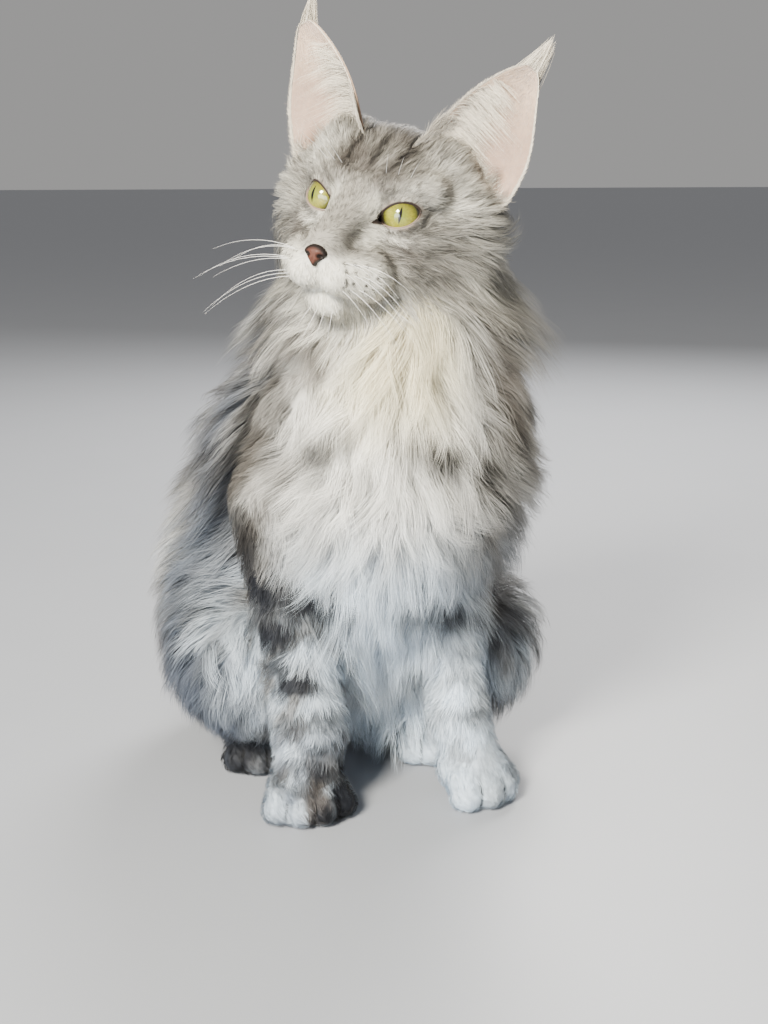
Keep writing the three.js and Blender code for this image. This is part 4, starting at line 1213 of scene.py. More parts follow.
def alongBlades(left, right):
    # values at the two edges of each ring and at the tip, hair by hair
    rings, hairs = left.shape[0] - 1, left.shape[1]
    rows = np.empty((hairs, 2 * rings + 1, 3), np.float32)
    rows[:, 0:-1:2] = left[:-1].transpose(1, 0, 2)
    rows[:, 1:-1:2] = right[:-1].transpose(1, 0, 2)
    rows[:, -1] = left[-1]
    return rows.reshape(-1, 3)


bakePatch = 0.0015  # half of the patch of the skin's UV that a hair reads when it is baked


def hairMesh(name, path, normals, width, colours, uv, random, roll=0.5):
    # path: rings x hairs x 3. Each hair is a thin blade that tapers to its tip.
    rings, hairs = path.shape[0] - 1, path.shape[1]
    tangents = unit(np.gradient(path, axis=0))
    across = unit(np.cross(tangents, normals))
    angle = random.normal(0, roll, hairs)[None, :, None]
    over = np.cross(across, tangents)
    across = across * np.cos(angle) + over * np.sin(angle)
    t = np.linspace(0, 1, rings + 1)
    taper = np.minimum(1, 0.65 + 1.4 * t) * (1 - t) ** 0.7
    half = (width[None, :] * taper[:, None] / 2)[:, :, None]
    per = 2 * rings + 1
    faces = []
    for k in range(rings - 1):
        a, b, c, d = 2 * k, 2 * k + 1, 2 * k + 3, 2 * k + 2
        faces += [(a, b, c), (a, c, d)]
    faces.append((2 * rings - 2, 2 * rings - 1, 2 * rings))
    faces = np.array(faces, np.int64)
    loops = (np.arange(hairs)[:, None, None] * per + faces[None]).ravel()
    obj = meshFrom(name, alongBlades(path - across * half, path + across * half), loops, 3)
    setColours(obj.data, "coatColour", alongBlades(colours, colours))
    offsets = np.empty((per, 2))
    offsets[0:-1:2] = np.column_stack([np.full(rings, -bakePatch), (t[:-1] * 2 - 1) * bakePatch])
    offsets[1:-1:2] = np.column_stack([np.full(rings, bakePatch), (t[:-1] * 2 - 1) * bakePatch])
    offsets[-1] = (0, bakePatch)
    layer = obj.data.uv_layers.new(name="OFBake")
    perLoop = (uv[:, None, None] + offsets[faces][None]).reshape(-1, 2)
    layer.uv.foreach_set("vector", perLoop.astype(np.float32).ravel())
    # the shading follows the skin more than the blade, so that locks read as soft
    soft = normals * 0.85 + np.cross(across, tangents) * 0.45 * np.sign(np.cos(angle))
    soft = unit(soft + random.normal(0, 0.12, soft.shape))
    obj.data.shade_smooth()
    obj.data.normals_split_custom_set_from_vertices(alongBlades(soft, soft))
    finishPiece(obj)
    print("coat:", name, "hairs", hairs, "triangles", len(loops) // 3)
    return obj


coat = {
    "face": {
        "spacing": 2.1, "hairs": 11, "rings": 3, "width": 0.28, "reachOut": 2.1, "gather": 0.6, "curl": 0.15,
        "sway": 0.4, "long": 1.55, "stray": 0.22, "least": 1.0, "pepper": 0.34, "fan": 0.6, "hang": 0,
        "rootShade": 0.5,
    },
    "lids": {
        "spacing": 0.9, "hairs": 7, "rings": 2, "width": 0.24, "reachOut": 0.8, "gather": 0.8, "curl": 0.05,
        "sway": 0.1, "long": 1.9, "stray": 0.34, "least": 1.3, "pepper": 0.4, "fan": 0.2, "hang": 0,
    },
    "ruff": {
        "spacing": 4.5, "hairs": 42, "rings": 4, "width": 0.25, "reachOut": 4.8, "gather": 0.55, "curl": 1.3,
        "sway": 3.6, "long": 1.75, "stray": 0.3, "least": 1.0, "pepper": 0.16, "fan": 2.2, "hang": 0.2,
    },
    "nape": {
        "spacing": 5.4, "hairs": 26, "rings": 4, "width": 0.42, "reachOut": 5.4, "gather": 0.55, "curl": 1.0,
        "sway": 2.4, "long": 1.9, "stray": 0.24, "least": 1.0, "pepper": 0.2, "fan": 2.2, "hang": 0,
    },
    "chest": {
        "spacing": 4.9, "hairs": 40, "rings": 4, "width": 0.27, "reachOut": 4.8, "gather": 0.44, "curl": 1.3,
        "sway": 4.2, "long": 1.75, "stray": 0.3, "least": 1.0, "pepper": 0.12, "fan": 2.4, "hang": 0.35,
    },
    "belly": {
        "spacing": 5.2, "hairs": 34, "rings": 4, "width": 0.34, "reachOut": 5.2, "gather": 0.7, "curl": 1.3,
        "sway": 3.4, "long": 2.6, "stray": 0.3, "least": 9.0, "pepper": 0.05, "fan": 3.4, "hang": 0.9,
    },
    "legs": {
        "spacing": 2.9, "hairs": 12, "rings": 3, "width": 0.3, "reachOut": 2.8, "gather": 0.65, "curl": 0.4,
        "sway": 0.8, "long": 1.7, "stray": 0.26, "least": 1.6, "pepper": 0.14, "fan": 0.9, "hang": 0,
    },
    "feet": {
        "spacing": 1.9, "hairs": 8, "rings": 2, "width": 0.28, "reachOut": 1.5, "gather": 0.7, "curl": 0.1,
        "sway": 0.1, "long": 1.1, "stray": 0.34, "least": 2.6, "pepper": 0.2, "fan": 0.3, "hang": 0,
    },
    "tail": {
        "spacing": 6.0, "hairs": 28, "rings": 4, "width": 0.48, "reachOut": 5.8, "gather": 0.5, "curl": 1.2,
        "sway": 2.8, "long": 2.0, "stray": 0.24, "least": 1.0, "pepper": 0.2, "fan": 2.6, "hang": 0,
    },
    "haunches": {
        "spacing": 5.8, "hairs": 26, "rings": 4, "width": 0.42, "reachOut": 5.6, "gather": 0.5, "curl": 1.2,
        "sway": 3.0, "long": 2.0, "stray": 0.26, "least": 1.0, "pepper": 0.18, "fan": 2.6, "hang": 0.15,
    },
    "back": {
        "spacing": 6.0, "hairs": 27, "rings": 4, "width": 0.44, "reachOut": 5.8, "gather": 0.5, "curl": 1.2,
        "sway": 3.0, "long": 2.0, "stray": 0.26, "least": 1.0, "pepper": 0.2, "fan": 2.6, "hang": 0,
    },
}
growth = {
    "limit": 197000,  # triangles in one piece
    "tries": 3.2,  # roots tried for each space of a guide
    "steps": 5,  # stretches of a guide
    "atLeast": 4.5,  # length of hair where the coat has no depth
    "loose": 0.16,  # share of hairs that leave their lock
}


def bareParts(points):
    # 0 where no hair is rooted: nose leather, lids, lips and the folds between toes
    bare = np.ones(len(points))
    bare[np.linalg.norm(offIn(toHead(points), nose["centre"], (6.6, 6, 5.0)), axis=1) < 1] = 0
    for side in sides:
        bare[offOutline(points, side) < 0.8 * mm] = 0
        bare[canthus(points, side) > 0.2] = 0
    bare[lipLine(points) > 0.3] = 0
    bare[toeCreases(points) > 0.7] = 0
    return bare


def shortening(points):
    # how much of its full length hair has: less on the face, the paws and the hind foot
    local = toHead(points)
    share = np.ones(len(points))
    for side in sides:
        share = np.minimum(share, 0.42 + 0.58 * smooth(0.5, 8, offOutline(points, side) / mm))
    muzzle = np.linalg.norm(offIn(local, (0, -70, -30), (26, 22, 17)), axis=1)
    share = np.minimum(share, 0.42 + 0.58 * smooth(0.55, 1.15, muzzle))
    p = points - origin
    x, y, z = p.T / mm
    share = np.minimum(share, 1 - 0.2 * smooth(26, 14, z) * (y < 60) * (y > -90))
    share = share * (1 - 0.85 * bump3(p, (-68, 40, 50), (38, 38, 34)))
    x, y, z = local.T / mm
    bridge = np.exp(-((x / 12) ** 2)) * smooth(-20, -45, y) * smooth(-30, -15, z)
    return share * (1 - 0.45 * bridge)


def coatZones(surface):
    # which piece of coat each triangle of the skin belongs to
    x, y, z = (surface["middles"] - origin).T / mm
    on = {name: surface["region"] == i for i, name in enumerate(regionNames)}
    zones = {
        "face": on["head"],
        "ruff": on["trunk"] & (z > 236) & (y < 24),
        "nape": on["trunk"] & (z > 222) & (y >= 24),
        "chest": on["trunk"] & (z <= 236) & (y < 24) & (z > 40),
        "legs": on["legs"],
        "feet": on["feet"],
        "tail": on["tail"],
    }
    fromLids = np.minimum(*(offOutline(surface["middles"], side) for side in sides))
    lids = on["head"] & (fromLids < 5.5 * mm)
    zones["face"] = zones["face"] & ~lids
    zones["belly"] = on["trunk"] & (z < 128) & (np.abs(x - hipX) < 46) & (y < 84) & (y > -30)
    zones["chest"] = zones["chest"] & ~zones["belly"]
    zones["lids"] = lids
    rest = on["trunk"] & ~zones["ruff"] & ~zones["nape"] & ~zones["chest"] & ~zones["belly"]
    zones["haunches"] = rest & ((z < 92) | (np.abs(x - hipX) > 62) & (z < 120))
    zones["back"] = rest & ~zones["haunches"]
    return zones


def gatherHairs(style, path, normals, depth, owner, random):
    # hairs about their guides, drawn together into locks towards their tips
    hairs, rings, steps = len(owner), style["rings"], growth["steps"]
    across = unit(np.cross(unit(np.gradient(path, axis=0)), normals))
    angle = random.uniform(0, 2 * math.pi, hairs)
    radius = np.sqrt(random.random(hairs)) * style["reachOut"] * mm
    sideways, along = np.cos(angle) * radius, np.sin(angle) * radius
    whole = random.uniform(0.72, 1.0, hairs)
    phase = random.uniform(0, 6.28, hairs)
    lift = random.uniform(-0.16, 0.04, hairs) * depth[owner]
    loose = random.random(hairs) < growth["loose"]
    fan = random.normal(0, style["fan"] * mm, (2, hairs))
    made, madeNormals = [], []
    for k in range(rings + 1):
        t = k / rings * whole
        low = np.minimum((t * steps).astype(int), steps - 1)
        f = (t * steps - low)[:, None]
        centre = path[low, owner] * (1 - f) + path[low + 1, owner] * f
        n = unit(normals[low, owner] * (1 - f) + normals[low + 1, owner] * f)
        a = unit(across[low, owner] * (1 - f) + across[low + 1, owner] * f)
        reachNow = 1 + np.where(loose, 0.35, style["gather"] - 1) * t**0.8
        wave = np.sin(phase + 3.4 * t) * style["curl"] * mm * t
        spread = fan * t**1.4
        q = centre + a * (sideways * reachNow + wave + spread[0])[:, None]
        q = q + np.cross(n, a) * (along * (1 - 0.4 * t))[:, None] + n * (lift * t + 0.5 * spread[1])[:, None]
        q[:, 2] = np.maximum(q[:, 2], 0.9 * mm)
        made.append(q)
        madeNormals.append(n)
    return np.array(made), np.array(madeNormals)


def hairColours(style, made, region, depth, owner, random):
    # long hair shows the colours of the places where it lies, short hair that of its root
    hairs, rings = len(owner), style["rings"]
    colours = [coatColour(made[k], region[owner]) for k in range(1 if rings < 4 else rings + 1)]
    colours += [colours[0]] * (rings + 1 - len(colours))
    middle = colours[rings // 2]
    bright = smooth(0.25, 0.65, middle.mean(axis=1))
    clump = 1 + (random.uniform(0.6, 1.16, len(region))[owner] - 1) * (1 - 0.66 * bright)
    pepper = np.where(random.random(hairs) < style["pepper"], random.uniform(0.28, 0.75, hairs), 1)
    single = random.uniform(0.84, 1.12, hairs) * (pepper + (1 - pepper) * 0.55 * bright)
    # painted shade: each hair darkens towards its root, more in deep coat and less in white coat, standing in
    # for the shadow deep in the coat
    deep = np.clip(depth[owner] / (12 * mm), 0, 1) * style.get("rootShade", 1)
    low = 0.36 + 0.36 * (1 - deep) + 0.34 * bright * deep
    tones = []
    for k in range(rings + 1):
        shade = low + (1.03 - low) * (k / rings) ** 0.75
        tones.append((0.75 * colours[k] + 0.25 * middle) * (shade * clump * single)[:, None])
    return np.clip(np.array(tones), 0, 1)


def growCoat(name, surface, zone, bare, seed):
    style = coat[name]
    random = np.random.default_rng(seed)
    weight = zone * bare
    area = float((surface["area"] * weight).sum())
    tries = int(area / (style["spacing"] * mm) ** 2 * growth["tries"])
    roots = scatter(surface, weight, tries, random)
    kept = thinned(roots["points"], style["spacing"] * mm)
    roots = {key: value[kept] for key, value in roots.items()}
    guides, steps = len(kept), growth["steps"]
    share = shortening(roots["points"])
    depth = deepCoat(roots["points"]) * random.uniform(0.72, 1.02, guides) * share
    depth = np.maximum(depth, style["least"] * mm)
    length = (growth["atLeast"] * mm * share + style["long"] * depth) * random.uniform(0.78, 1.14, guides)
    tilt = random.normal(0, style["stray"], guides) + 0.22 * waves(roots["points"], seed + 50, 60)
    sink = 0.6 * mm + 0.05 * depth
    path, normals = walkGuides(roots, length, depth, steps, tilt, sink[:, None], style["hang"])
    bend = unit(np.cross(unit(np.gradient(path, axis=0)), normals))
    swing = random.normal(0, 1, guides) * 0.5 + waves(roots["points"], seed + 80, 38)
    for k in range(steps + 1):
        t = k / steps
        path[k] += bend[k] * (swing * style["sway"] * mm * (t * 1.2 - 2.2 * math.sin(2.6 * t) * t))[:, None]
    most = growth["limit"] // (2 * style["rings"] - 1)
    owner = np.repeat(np.arange(guides), max(1, min(style["hairs"], most // guides)))
    made, madeNormals = gatherHairs(style, path, normals, depth, owner, random)
    tones = hairColours(style, made, roots["region"], depth, owner, random)
    width = style["width"] * mm * random.uniform(0.75, 1.2, len(owner))
    return hairMesh("coat_" + name, made, madeNormals, width, tones, roots["uv"][owner], random)


print("stage: coat")
surface = skinSurface(skin)
setColours(skin.data, "coatColour", skinColours(surface["points"]))
bare = bareParts(surface["middles"])
coatPieces = []
for seed, (name, zone) in enumerate(coatZones(surface).items()):
    if zone.any():
        coatPieces.append(growCoat(name, surface, zone, bare, 100 + seed))

# hair of the ears: short outside, a pale fringe, long hairs across the cup, and the tufts
earHair = {
    "outside": {"count": 6200, "length": 7.5, "lift": 0.6, "width": 0.34},
    "inside": {"count": 2200, "length": 6.0, "lift": 0.5, "width": 0.14},
    "fringe": {"count": 2600, "length": 5.0, "lift": 0.3, "width": 0.14},
    "across": {"count": 760, "length": 30, "lift": 5.0, "width": 0.17},
    "bank": {"count": 1300, "length": 15, "lift": 2.2, "width": 0.2},
    "base": {"count": 2700, "length": 22, "lift": 3.0, "width": 0.28},
    "tuft": {"count": 520, "length": 21, "lift": 2.0, "width": 0.26},
}


def earPaths(side, kind, random):
    # rings x hairs x 3 in head axes, with normals and each root's place across and up the ear
    style = earHair[kind]
    count, steps = style["count"], 4
    one = np.ones(count)
    front = -one
    if kind == "outside":
        u, t, front = random.uniform(0.05, 0.95, count), random.uniform(-0.1, 0.97, count), one
        du, dt = (u - 0.5) * 0.10, one * style["length"] / ear["tall"]
    elif kind == "inside":
        u, t = random.uniform(0.04, 0.96, count), random.uniform(-0.02, 0.96, count)
        du, dt = random.normal(0.02, 0.04, count), one * style["length"] / ear["tall"]
    elif kind == "fringe":
        edge = random.random(count) < 0.5
        u = np.where(edge, random.uniform(0.0, 0.02, count), random.uniform(0.98, 1.0, count))
        t = random.uniform(-0.02, 0.985, count)
        du = np.where(edge, -0.02, 0.02) * random.uniform(-1, 1.6, count)
        dt = one * style["length"] / ear["tall"]
    elif kind == "across":
        lock = random.integers(0, 64, count)
        place = np.random.default_rng(9).random((64, 3))
        t = -0.06 + 0.78 * place[lock, 0] ** 1.15 + random.normal(0, 0.012, count)
        u = 0.02 + 0.12 * place[lock, 1] + random.normal(0, 0.012, count)
        du = 0.36 + 0.44 * place[lock, 2] + random.normal(0, 0.05, count)
        dt = (0.14 if side < 0 else 0.05) - 0.10 * place[lock, 2] + random.normal(0, 0.022, count)
    elif kind == "bank":
        t = -0.05 + 0.62 * random.random(count) ** 1.3
        u = random.uniform(0.0, 0.42, count) * (1 - 0.8 * np.clip(t, 0, 1))
        du, dt = random.normal(0.17, 0.05, count), random.uniform(0.05, 0.15, count)
    elif kind == "base":
        u = -0.06 + 1.04 * random.random(count) ** 1.2
        t = random.uniform(-0.2, 0.10, count) - 0.05 * u
        du = random.normal(0.03, 0.05, count)
        dt = random.uniform(0.16, 0.34, count) * (1 - (0.1 if side < 0 else 0.45) * u)
    else:
        lock = random.integers(0, 6, count)
        t = 0.985 - 0.13 * random.random(count) ** 1.6
        u = random.uniform(0.02, 0.98, count)
        du, dt = (lock - 2.5) * 0.03, one * 0.2
    u0, t0 = np.clip(u, -0.1, 1.05), t
    rings = []
    whole = random.uniform(0.62, 1.0, count)
    for k in range(steps + 1):
        f = k / steps * whole
        lift = style["lift"] * (f * (1.2 - 0.5 * f)) + 0.2
        nowU = u0 + du * f
        nowT = t0 + dt * f * (1 - 0.25 * f) if kind != "tuft" else t0
        if kind == "across":
            nowT = t0 + dt * np.sin(f * 2.2)
            lift = style["lift"] * np.sin(np.minimum(f * 2.6, 2.2)) + 1.6 * f
        depth = front * (ear["wall"] / 2 + lift)
        p = earPoint(1, nowU, np.minimum(nowT, 0.99), depth)
        if kind == "fringe":
            p = p + np.column_stack([np.sign(u0 - 0.5) * 0.5, -0.5 * one, 0.3 * one]) * mm * f[:, None]
        if kind == "tuft":
            reachOut = style["length"] * random.uniform(0.75, 1.0, count) if k == steps else style["length"]
            aim = np.array(ear["tip"], float) + np.array([4.5, 7, 18])
            aim = aim + np.column_stack([(lock - 2.5) * 0.8, (lock % 3 - 1) * 1.2, (lock % 4 - 2) * 1.6])
            pull = np.clip(f * reachOut / style["length"], 0, 1)[:, None]
            bow = np.array([0.5, 0.6, 0.3]) * (4 * pull * (1 - pull))
            p = (p / mm + (aim - p / mm) * pull + bow) * mm
        rings.append(p)
    path = np.array(rings)
    if kind in ("across", "base", "bank"):
        path[1:] += random.normal(0, 0.35, path[1:].shape) * mm * np.linspace(0.3, 1, steps)[:, None, None]
    normals = np.broadcast_to(earFrame()[3], path.shape) * front[:, None]
    toSide = np.array([side, 1, 1])
    return path * toSide, normals * toSide, u0, t0


earHairTones = {
    "pale": (0.87, 0.79, 0.65), "silver": (0.20, 0.182, 0.158),
    "dark": (0.05, 0.04, 0.034), "inside": (0.56, 0.44, 0.37),
}


def earTone(kind, u, t, count, random):
    pale, silver = earHairTones["pale"], earHairTones["silver"]
    if kind == "outside":
        share = 0.06 + 0.3 * smooth(0.6, 1, t) + 0.3 * smooth(0.4, 0.45, np.abs(u - 0.5))
        return mixed(silver, pale, np.clip(share + random.normal(0, 0.12, count), 0, 1))
    if kind in ("base", "bank"):
        return mixed(silver, pale, np.clip(random.normal(0.34, 0.3, count), 0, 1))
    if kind == "tuft":
        share = (random.random(count) < 0.4) * random.uniform(0.4, 0.95, count)
        return mixed(pale, earHairTones["dark"], share)
    if kind == "inside":
        return np.tile(earHairTones["inside"], (count, 1))
    return mixed(silver, pale, np.clip(random.normal(0.9, 0.2, count), 0, 1))


def growEar(side):
    random = np.random.default_rng(300 + side)
    made = []
    for kind, style in earHair.items():
        path, normals, u, t = earPaths(side, kind, random)
        count = path.shape[1]
        colour = earTone(kind, u, t, count, random)
        # painted shade: each ear hair darkens towards its root; the second factor varies the tone at random
        shade = np.linspace(0.8, 1.04, path.shape[0])[:, None] * random.uniform(0.88, 1.06, count)
        colour = colour[None] * shade[:, :, None]
        uv = np.column_stack([0.1 + 0.8 * np.clip(u, 0, 1), 0.1 + 0.8 * np.clip(t, 0, 1)])
        width = style["width"] * mm * random.uniform(0.7, 1.2, count)
        placed = fromHead(path.reshape(-1, 3)).reshape(path.shape)
        made.append((placed, normals @ headAxes.T, width, colour, uv))
    path, normals, colours = (np.concatenate([piece[i] for piece in made], axis=1) for i in (0, 1, 3))
    width, uv = np.concatenate([piece[2] for piece in made]), np.concatenate([piece[4] for piece in made])
    name = "coat_ear_right" if side < 0 else "coat_ear_left"
    return hairMesh(name, path, unit(normals), width, np.clip(colours, 0, 1), uv, random, 0.6)


coatPieces += [growEar(side) for side in sides]


# whiskers, brow hairs, chin hairs and claws
def bendLine(start, way, length, drop, sideways=0.0, points=9):
    # a hair that leaves along way and bends over its length, metres in the row's frame
    t = np.linspace(0, 1, points)[:, None]
    way = unit(np.array(way, float))
    side = unit(np.cross(way, np.array([0, 0, 1.0])))
    return np.array(start) + way * length * t + np.array([0, 0, -1.0]) * drop * t**2 + side * sideways * t**2


def mergeTubes(name, lines, radius, around=5):
    # several tapered hairs in one mesh
    points, loops, total = [], [], 0
    for line in lines:
        piece = tube("hair", line, radius * np.linspace(1, 0.12, len(line)) ** 0.8, around)
        points.append(coordinates(piece.data))
        loops.append(readRows(piece.data.loops, "vertex_index", 1, np.int32).ravel() + total)
        total += len(points[-1])
        bpy.data.objects.remove(piece, do_unlink=True)
    obj = meshFrom(name, np.concatenate(points), np.concatenate(loops), 4)
    turnOutwards(obj)
    return finishPiece(obj)


whisker = {
    "radius": 0.13 * mm, "rows": (-27.5, -31, -35), "perRow": 3, "length": 74 * mm, "leftShare": 0.62,
    "browHairs": 3, "chinHairs": (-7, -2, 3, 8),
}


def rootOnHead(x, y, z):
    return fromHead(onHeadSurface(np.array([[x, y, z]])) * mm)[0]


def headWay(x, y, z):
    return headAxes @ unit(np.array([x, y, z]))


def makeWhiskers():
    random = np.random.default_rng(21)
    lines = []
    for side in sides:
        for i, z in enumerate(whisker["rows"]):
            for j in range(whisker["perRow"]):
                root = rootOnHead(side * (12 + 3.0 * j), -66 + 3.2 * j, z + 0.4 * j)
                way = headWay(side * (0.85 + 0.12 * j), -0.40 + 0.2 * j, 0.10 - 0.16 * i)
                length = whisker["length"] * random.uniform(0.62, 1.0) * (0.62 + 0.12 * j)
                length = length * (1.0 if side < 0 else whisker["leftShare"])
                drop = length * random.uniform(0.30, 0.62)
                lines.append(bendLine(root, way, length, drop, random.normal(0, 3) * mm))
        for k in range(whisker["browHairs"]):
            root = rootOnHead(side * (13 + 6 * k), -40 + 3 * k, 24 - 0.6 * k)
            way = headWay(side * (0.25 + 0.1 * k), -0.75, 0.62)
            lines.append(bendLine(root, way, random.uniform(22, 34) * mm, 3 * mm))
    for x in whisker["chinHairs"]:
        way = headWay(x * 0.03, -0.5, -0.85)
        lines.append(bendLine(rootOnHead(x, -60, -54), way, random.uniform(12, 22) * mm, 0))
    return mergeTubes("whiskers", lines, whisker["radius"])


claw = {"length": 4.4 * mm, "hook": 3.4 * mm, "radius": 0.9 * mm, "sunk": 3.4, "rise": 1.0 * mm}


def makeClaws():
    lines = []
    up = np.array([0, 0, 1.0])
    t = np.linspace(0, 1, 7)[:, None]
    for (_, _, toeRadius, _), masses in zip(pawSizes, feet):
        for toe in masses[1:]:
            way = unit(toe["end"] - toe["start"])
            way[2] = 0
            start = toe["end"] + origin + way * (toeRadius - claw["sunk"]) * mm + up * claw["rise"]
            lines.append(start + way * claw["length"] * t - up * claw["hook"] * t**2)
    return mergeTubes("claws", lines, claw["radius"], 8)


print("stage: whiskers and claws")
whiskers = makeWhiskers()
claws = makeClaws()

# materials
def maths(tree, operation, *values):
    node = tree.nodes.new("ShaderNodeMath")
    node.operation = operation
    for index, value in enumerate(values):
        if isinstance(value, (int, float)):
            node.inputs[index].default_value = value
        else:
            tree.links.new(value, node.inputs[index])
    return node.outputs[0]


def scaledColour(tree, colour, factor):
    node = tree.nodes.new("ShaderNodeVectorMath")
    node.operation = "SCALE"
    tree.links.new(colour, node.inputs[0])
    tree.links.new(factor, node.inputs["Scale"])
    return node.outputs[0]


def mapRange(tree, value, fromLow, fromHigh, toLow=0.0, toHigh=1.0):
    node = tree.nodes.new("ShaderNodeMapRange")
    limits = {"From Min": fromLow, "From Max": fromHigh, "To Min": toLow, "To Max": toHigh}
    for socket, number in limits.items():
        node.inputs[socket].default_value = number
    tree.links.new(value, node.inputs["Value"])
    return node.outputs["Result"]


def hairTones():
    # finer variation of tone over hair and skin, with a height for the bump
    group = bpy.data.node_groups.new("hairTones", "ShaderNodeTree")
    for name, way, kind in (
        ("Colour", "INPUT", "Color"), ("Amount", "INPUT", "Float"), ("Scale", "INPUT", "Float"),
        ("Colour", "OUTPUT", "Color"), ("Height", "OUTPUT", "Float"),
    ):
        group.interface.new_socket(name, in_out=way, socket_type="NodeSocket" + kind)
    nodes, links = group.nodes, group.links
    entry, leaving = nodes.new("NodeGroupInput"), nodes.new("NodeGroupOutput")
    noise = nodes.new("ShaderNodeTexNoise")
    noise.inputs["Detail"].default_value = 3
    links.new(nodes.new("ShaderNodeTexCoord").outputs["Object"], noise.inputs["Vector"])
    links.new(entry.outputs["Scale"], noise.inputs["Scale"])
    less = maths(group, "SUBTRACT", noise.outputs["Fac"], 0.5)
    factor = maths(group, "MULTIPLY_ADD", less, entry.outputs["Amount"], 1.0)
    links.new(scaledColour(group, entry.outputs["Colour"], factor), leaving.inputs["Colour"])
    links.new(noise.outputs["Fac"], leaving.inputs["Height"])
    return group


def newMaterial(name, sockets):
    material = bpy.data.materials.new(name)
    material.use_nodes = True
    shader = material.node_tree.nodes["Principled BSDF"]
    for socket, value in sockets.items():
        shader.inputs[socket].default_value = value
    return material, material.node_tree, shader


def attributeNode(tree, name):
    node = tree.nodes.new("ShaderNodeAttribute")
    node.attribute_name = name
    return node


def tonedMaterial(name, sockets, amount, scale, bump=0, colour=None):
    # takes the piece's own coatColour, or one given colour, and varies it by amount
    material, tree, shader = newMaterial(name, sockets)
    node = tree.nodes.new("ShaderNodeGroup")
    node.node_tree = tones
    node.inputs["Amount"].default_value = amount
    node.inputs["Scale"].default_value = scale
    if colour:
        node.inputs["Colour"].default_value = colour + (1,)
    else:
        tree.links.new(attributeNode(tree, "coatColour").outputs["Color"], node.inputs["Colour"])
    tree.links.new(node.outputs["Colour"], shader.inputs["Base Color"])
    if bump:
        ripple = tree.nodes.new("ShaderNodeBump")
        ripple.inputs["Distance"].default_value = bump
        tree.links.new(node.outputs["Height"], ripple.inputs["Height"])
        tree.links.new(ripple.outputs["Normal"], shader.inputs["Normal"])
    return material


def furMaterial(name, rough, bump):
    sockets = {
        "Roughness": rough, "Specular IOR Level": 0.2, "Sheen Weight": 0.03, "Sheen Roughness": 0.4,
    }
    return tonedMaterial(name, sockets, 0.35, 260, bump)


def hornSockets(rough, coatWeight):
    return {"Roughness": rough, "Coat Weight": coatWeight, "Coat Roughness": 0.15}


iris = {
    "radius": 8.9, "slitHigh": 4.6, "slitWide": 0.85, "slitColour": (0.004, 0.004, 0.004),
    "stops": [  # share of the radius, colour
        (0.0, (0.13, 0.16, 0.030)), (0.30, (0.20, 0.215, 0.025)), (0.60, (0.26, 0.245, 0.020)),
        (0.82, (0.11, 0.11, 0.013)), (0.93, (0.02, 0.018, 0.008)), (1.0, (0.012, 0.008, 0.006)),
    ],
}


def eyeMaterial():
    material, tree, shader = newMaterial(
        "eyeWet", {"Roughness": 0.12, "Coat Weight": 1.0, "Coat Roughness": 0.02},
    )
    nodes, links = tree.nodes, tree.links
    split = nodes.new("ShaderNodeSeparateXYZ")
    links.new(attributeNode(tree, "eyePlane").outputs["Vector"], split.inputs[0])
    x, y = split.outputs["X"], split.outputs["Y"]
    squares = maths(tree, "ADD", maths(tree, "MULTIPLY", x, x), maths(tree, "MULTIPLY", y, y))
    radius = maths(tree, "SQRT", squares)
    # radial fibres: noise read on the direction from the pupil
    direction = nodes.new("ShaderNodeCombineXYZ")
    safe = maths(tree, "MAXIMUM", radius, 0.01)
    for socket, part in (("X", x), ("Y", y)):
        links.new(maths(tree, "MULTIPLY", maths(tree, "DIVIDE", part, safe), 9.0), direction.inputs[socket])
    links.new(maths(tree, "MULTIPLY", radius, 0.55), direction.inputs["Z"])
    fibres = nodes.new("ShaderNodeTexNoise")
    fibres.inputs["Scale"].default_value = 1.0
    fibres.inputs["Detail"].default_value = 4
    links.new(direction.outputs[0], fibres.inputs["Vector"])
    rings = nodes.new("ShaderNodeValToRGB")
    stops, elements = iris["stops"], rings.color_ramp.elements
    for element, (position, colour) in zip(elements, (stops[0], stops[-1])):
        element.position = position
        element.color = colour + (1,)
    for position, colour in stops[1:-1]:
        elements.new(position).color = colour + (1,)
    links.new(maths(tree, "DIVIDE", radius, iris["radius"] * 1.1), rings.inputs["Fac"])
    # painted shadow of the upper lid: the iris darkens towards its top
    paintedLidShadow = mapRange(tree, y, 0.5, 6.5, 1.0, 0.42)
    fibreTone = maths(tree, "MULTIPLY_ADD", fibres.outputs["Fac"], 1.1, 0.45)
    toned = scaledColour(tree, rings.outputs["Color"], maths(tree, "MULTIPLY", fibreTone, paintedLidShadow))
    # the slit: narrow, pointed at both ends
    part = maths(tree, "DIVIDE", y, iris["slitHigh"])
    square = maths(tree, "MULTIPLY", part, part)
    half = maths(tree, "MULTIPLY_ADD", square, -iris["slitWide"], iris["slitWide"])
    edge = maths(tree, "SUBTRACT", maths(tree, "ABSOLUTE", x), half)
    final = nodes.new("ShaderNodeMix")
    final.data_type = "RGBA"
    final.inputs[6].default_value = iris["slitColour"] + (1,)
    links.new(mapRange(tree, edge, -0.12, 0.12), final.inputs[0])
    links.new(toned, final.inputs[7])
    links.new(final.outputs[2], shader.inputs["Base Color"])
    return material


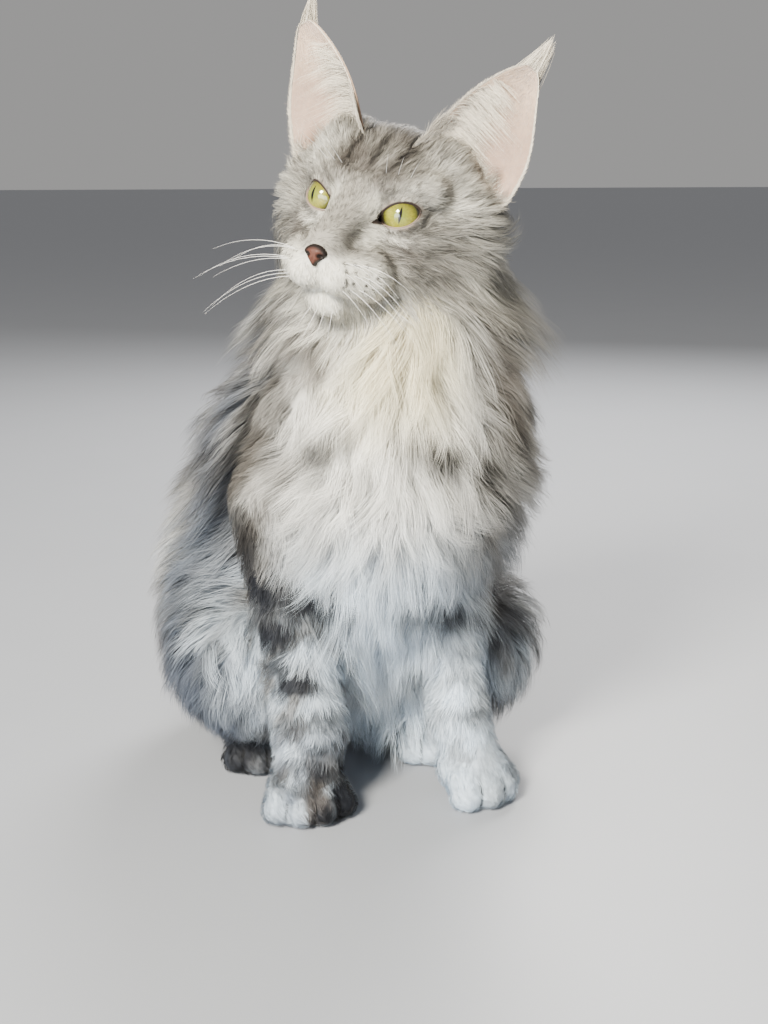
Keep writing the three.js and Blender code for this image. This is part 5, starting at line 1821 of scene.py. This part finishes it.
print("stage: materials")
tones = hairTones()
coatMaterial = furMaterial("coatHair", 0.55, 0)
skinMaterial = furMaterial("coatUnder", 0.7, 0.0004)
earMaterial = furMaterial("earSkin", 0.5, 0.0003)
eyeLook = eyeMaterial()
rimMaterial = furMaterial("lidRim", 0.35, 0.0001)
leather = {"Roughness": 0.6, "Specular IOR Level": 0.22, "Coat Weight": 0.04, "Coat Roughness": 0.25}
noseMaterial = tonedMaterial("noseLeather", leather, 0.6, 1500, 0.00025)
whiskerMaterial = tonedMaterial("whiskerHair", hornSockets(0.35, 0.0), 0.1, 300, 0, (0.85, 0.84, 0.82))
clawMaterial = tonedMaterial("clawHorn", hornSockets(0.3, 0.3), 0.3, 700, 0.0001, (0.62, 0.55, 0.48))
for obj, material in (
    [(piece, coatMaterial) for piece in coatPieces]
    + [(piece, eyeLook) for piece in eyeballs]
    + [(piece, rimMaterial) for piece in lidRims]
    + [(piece, earMaterial) for piece in earSkins]
    + [(skin, skinMaterial), (noseLeather, noseMaterial), (whiskers, whiskerMaterial), (claws, clawMaterial)]
):
    obj.data.materials.clear()
    obj.data.materials.append(material)

# floor, light and camera
print("stage: floor, light, camera")
floorLook = {"size": 60, "drop": 0.0006, "colour": (0.33, 0.345, 0.38)}
studio = {"colour": (0.88, 0.87, 0.86), "strength": 0.4, "aim": (0.0, 0.0, 0.22)}
lights = {  # place from the design's zero and size, both in metres, power, colour
    "key": ((-1.2, -1.22, 1.28), 0.55, 158, (1, 0.94, 0.81)),
    "fill": ((-1.35, -1.25, 0.25), 1.2, 40, (0.88, 0.94, 1)),
    "back": ((0.9, 1.3, 1.3), 1.0, 60, (1, 0.97, 0.92)),
}
view = {"place": (-282.7, -798.7, 360), "turn": (77.2, 0, -20), "lens": 52.73, "clip": 0.02}


def addLight(name, place, size, power, colour):
    data = bpy.data.lights.new(name, "AREA")
    data.shape = "DISK"
    data.size = size
    data.energy = power
    data.color = colour
    lamp = bpy.data.objects.new(name, data)
    lamp.location = origin + np.array(place)
    way = Vector(origin + np.array(studio["aim"])) - lamp.location
    lamp.rotation_euler = way.to_track_quat("-Z", "Y").to_euler()
    bpy.context.scene.collection.objects.link(lamp)


deselectAll()
bpy.ops.mesh.primitive_plane_add(size=floorLook["size"], location=(0, 0, -floorLook["drop"]))
floor = bpy.context.object
floor.name = "floor"
bpy.ops.object.transform_apply(location=True, rotation=True, scale=True)
floor.data.materials.append(
    tonedMaterial("paleFloor", hornSockets(0.5, 0.0), 0.05, 9, 0, floorLook["colour"])
)
world = bpy.context.scene.world or bpy.data.worlds.new("studio")
bpy.context.scene.world = world
world.use_nodes = True
background = world.node_tree.nodes["Background"]
background.inputs["Color"].default_value = studio["colour"] + (1,)
background.inputs["Strength"].default_value = studio["strength"]
for name, values in lights.items():
    addLight(name, *values)

cameraData = bpy.data.cameras.new("camera")
cameraData.lens = view["lens"]
cameraData.clip_start = view["clip"]
camera = bpy.data.objects.new("camera", cameraData)
camera.location = origin + np.array(view["place"]) * mm
camera.rotation_euler = [math.radians(angle) for angle in view["turn"]]
bpy.context.scene.collection.objects.link(camera)
bpy.context.scene.camera = camera
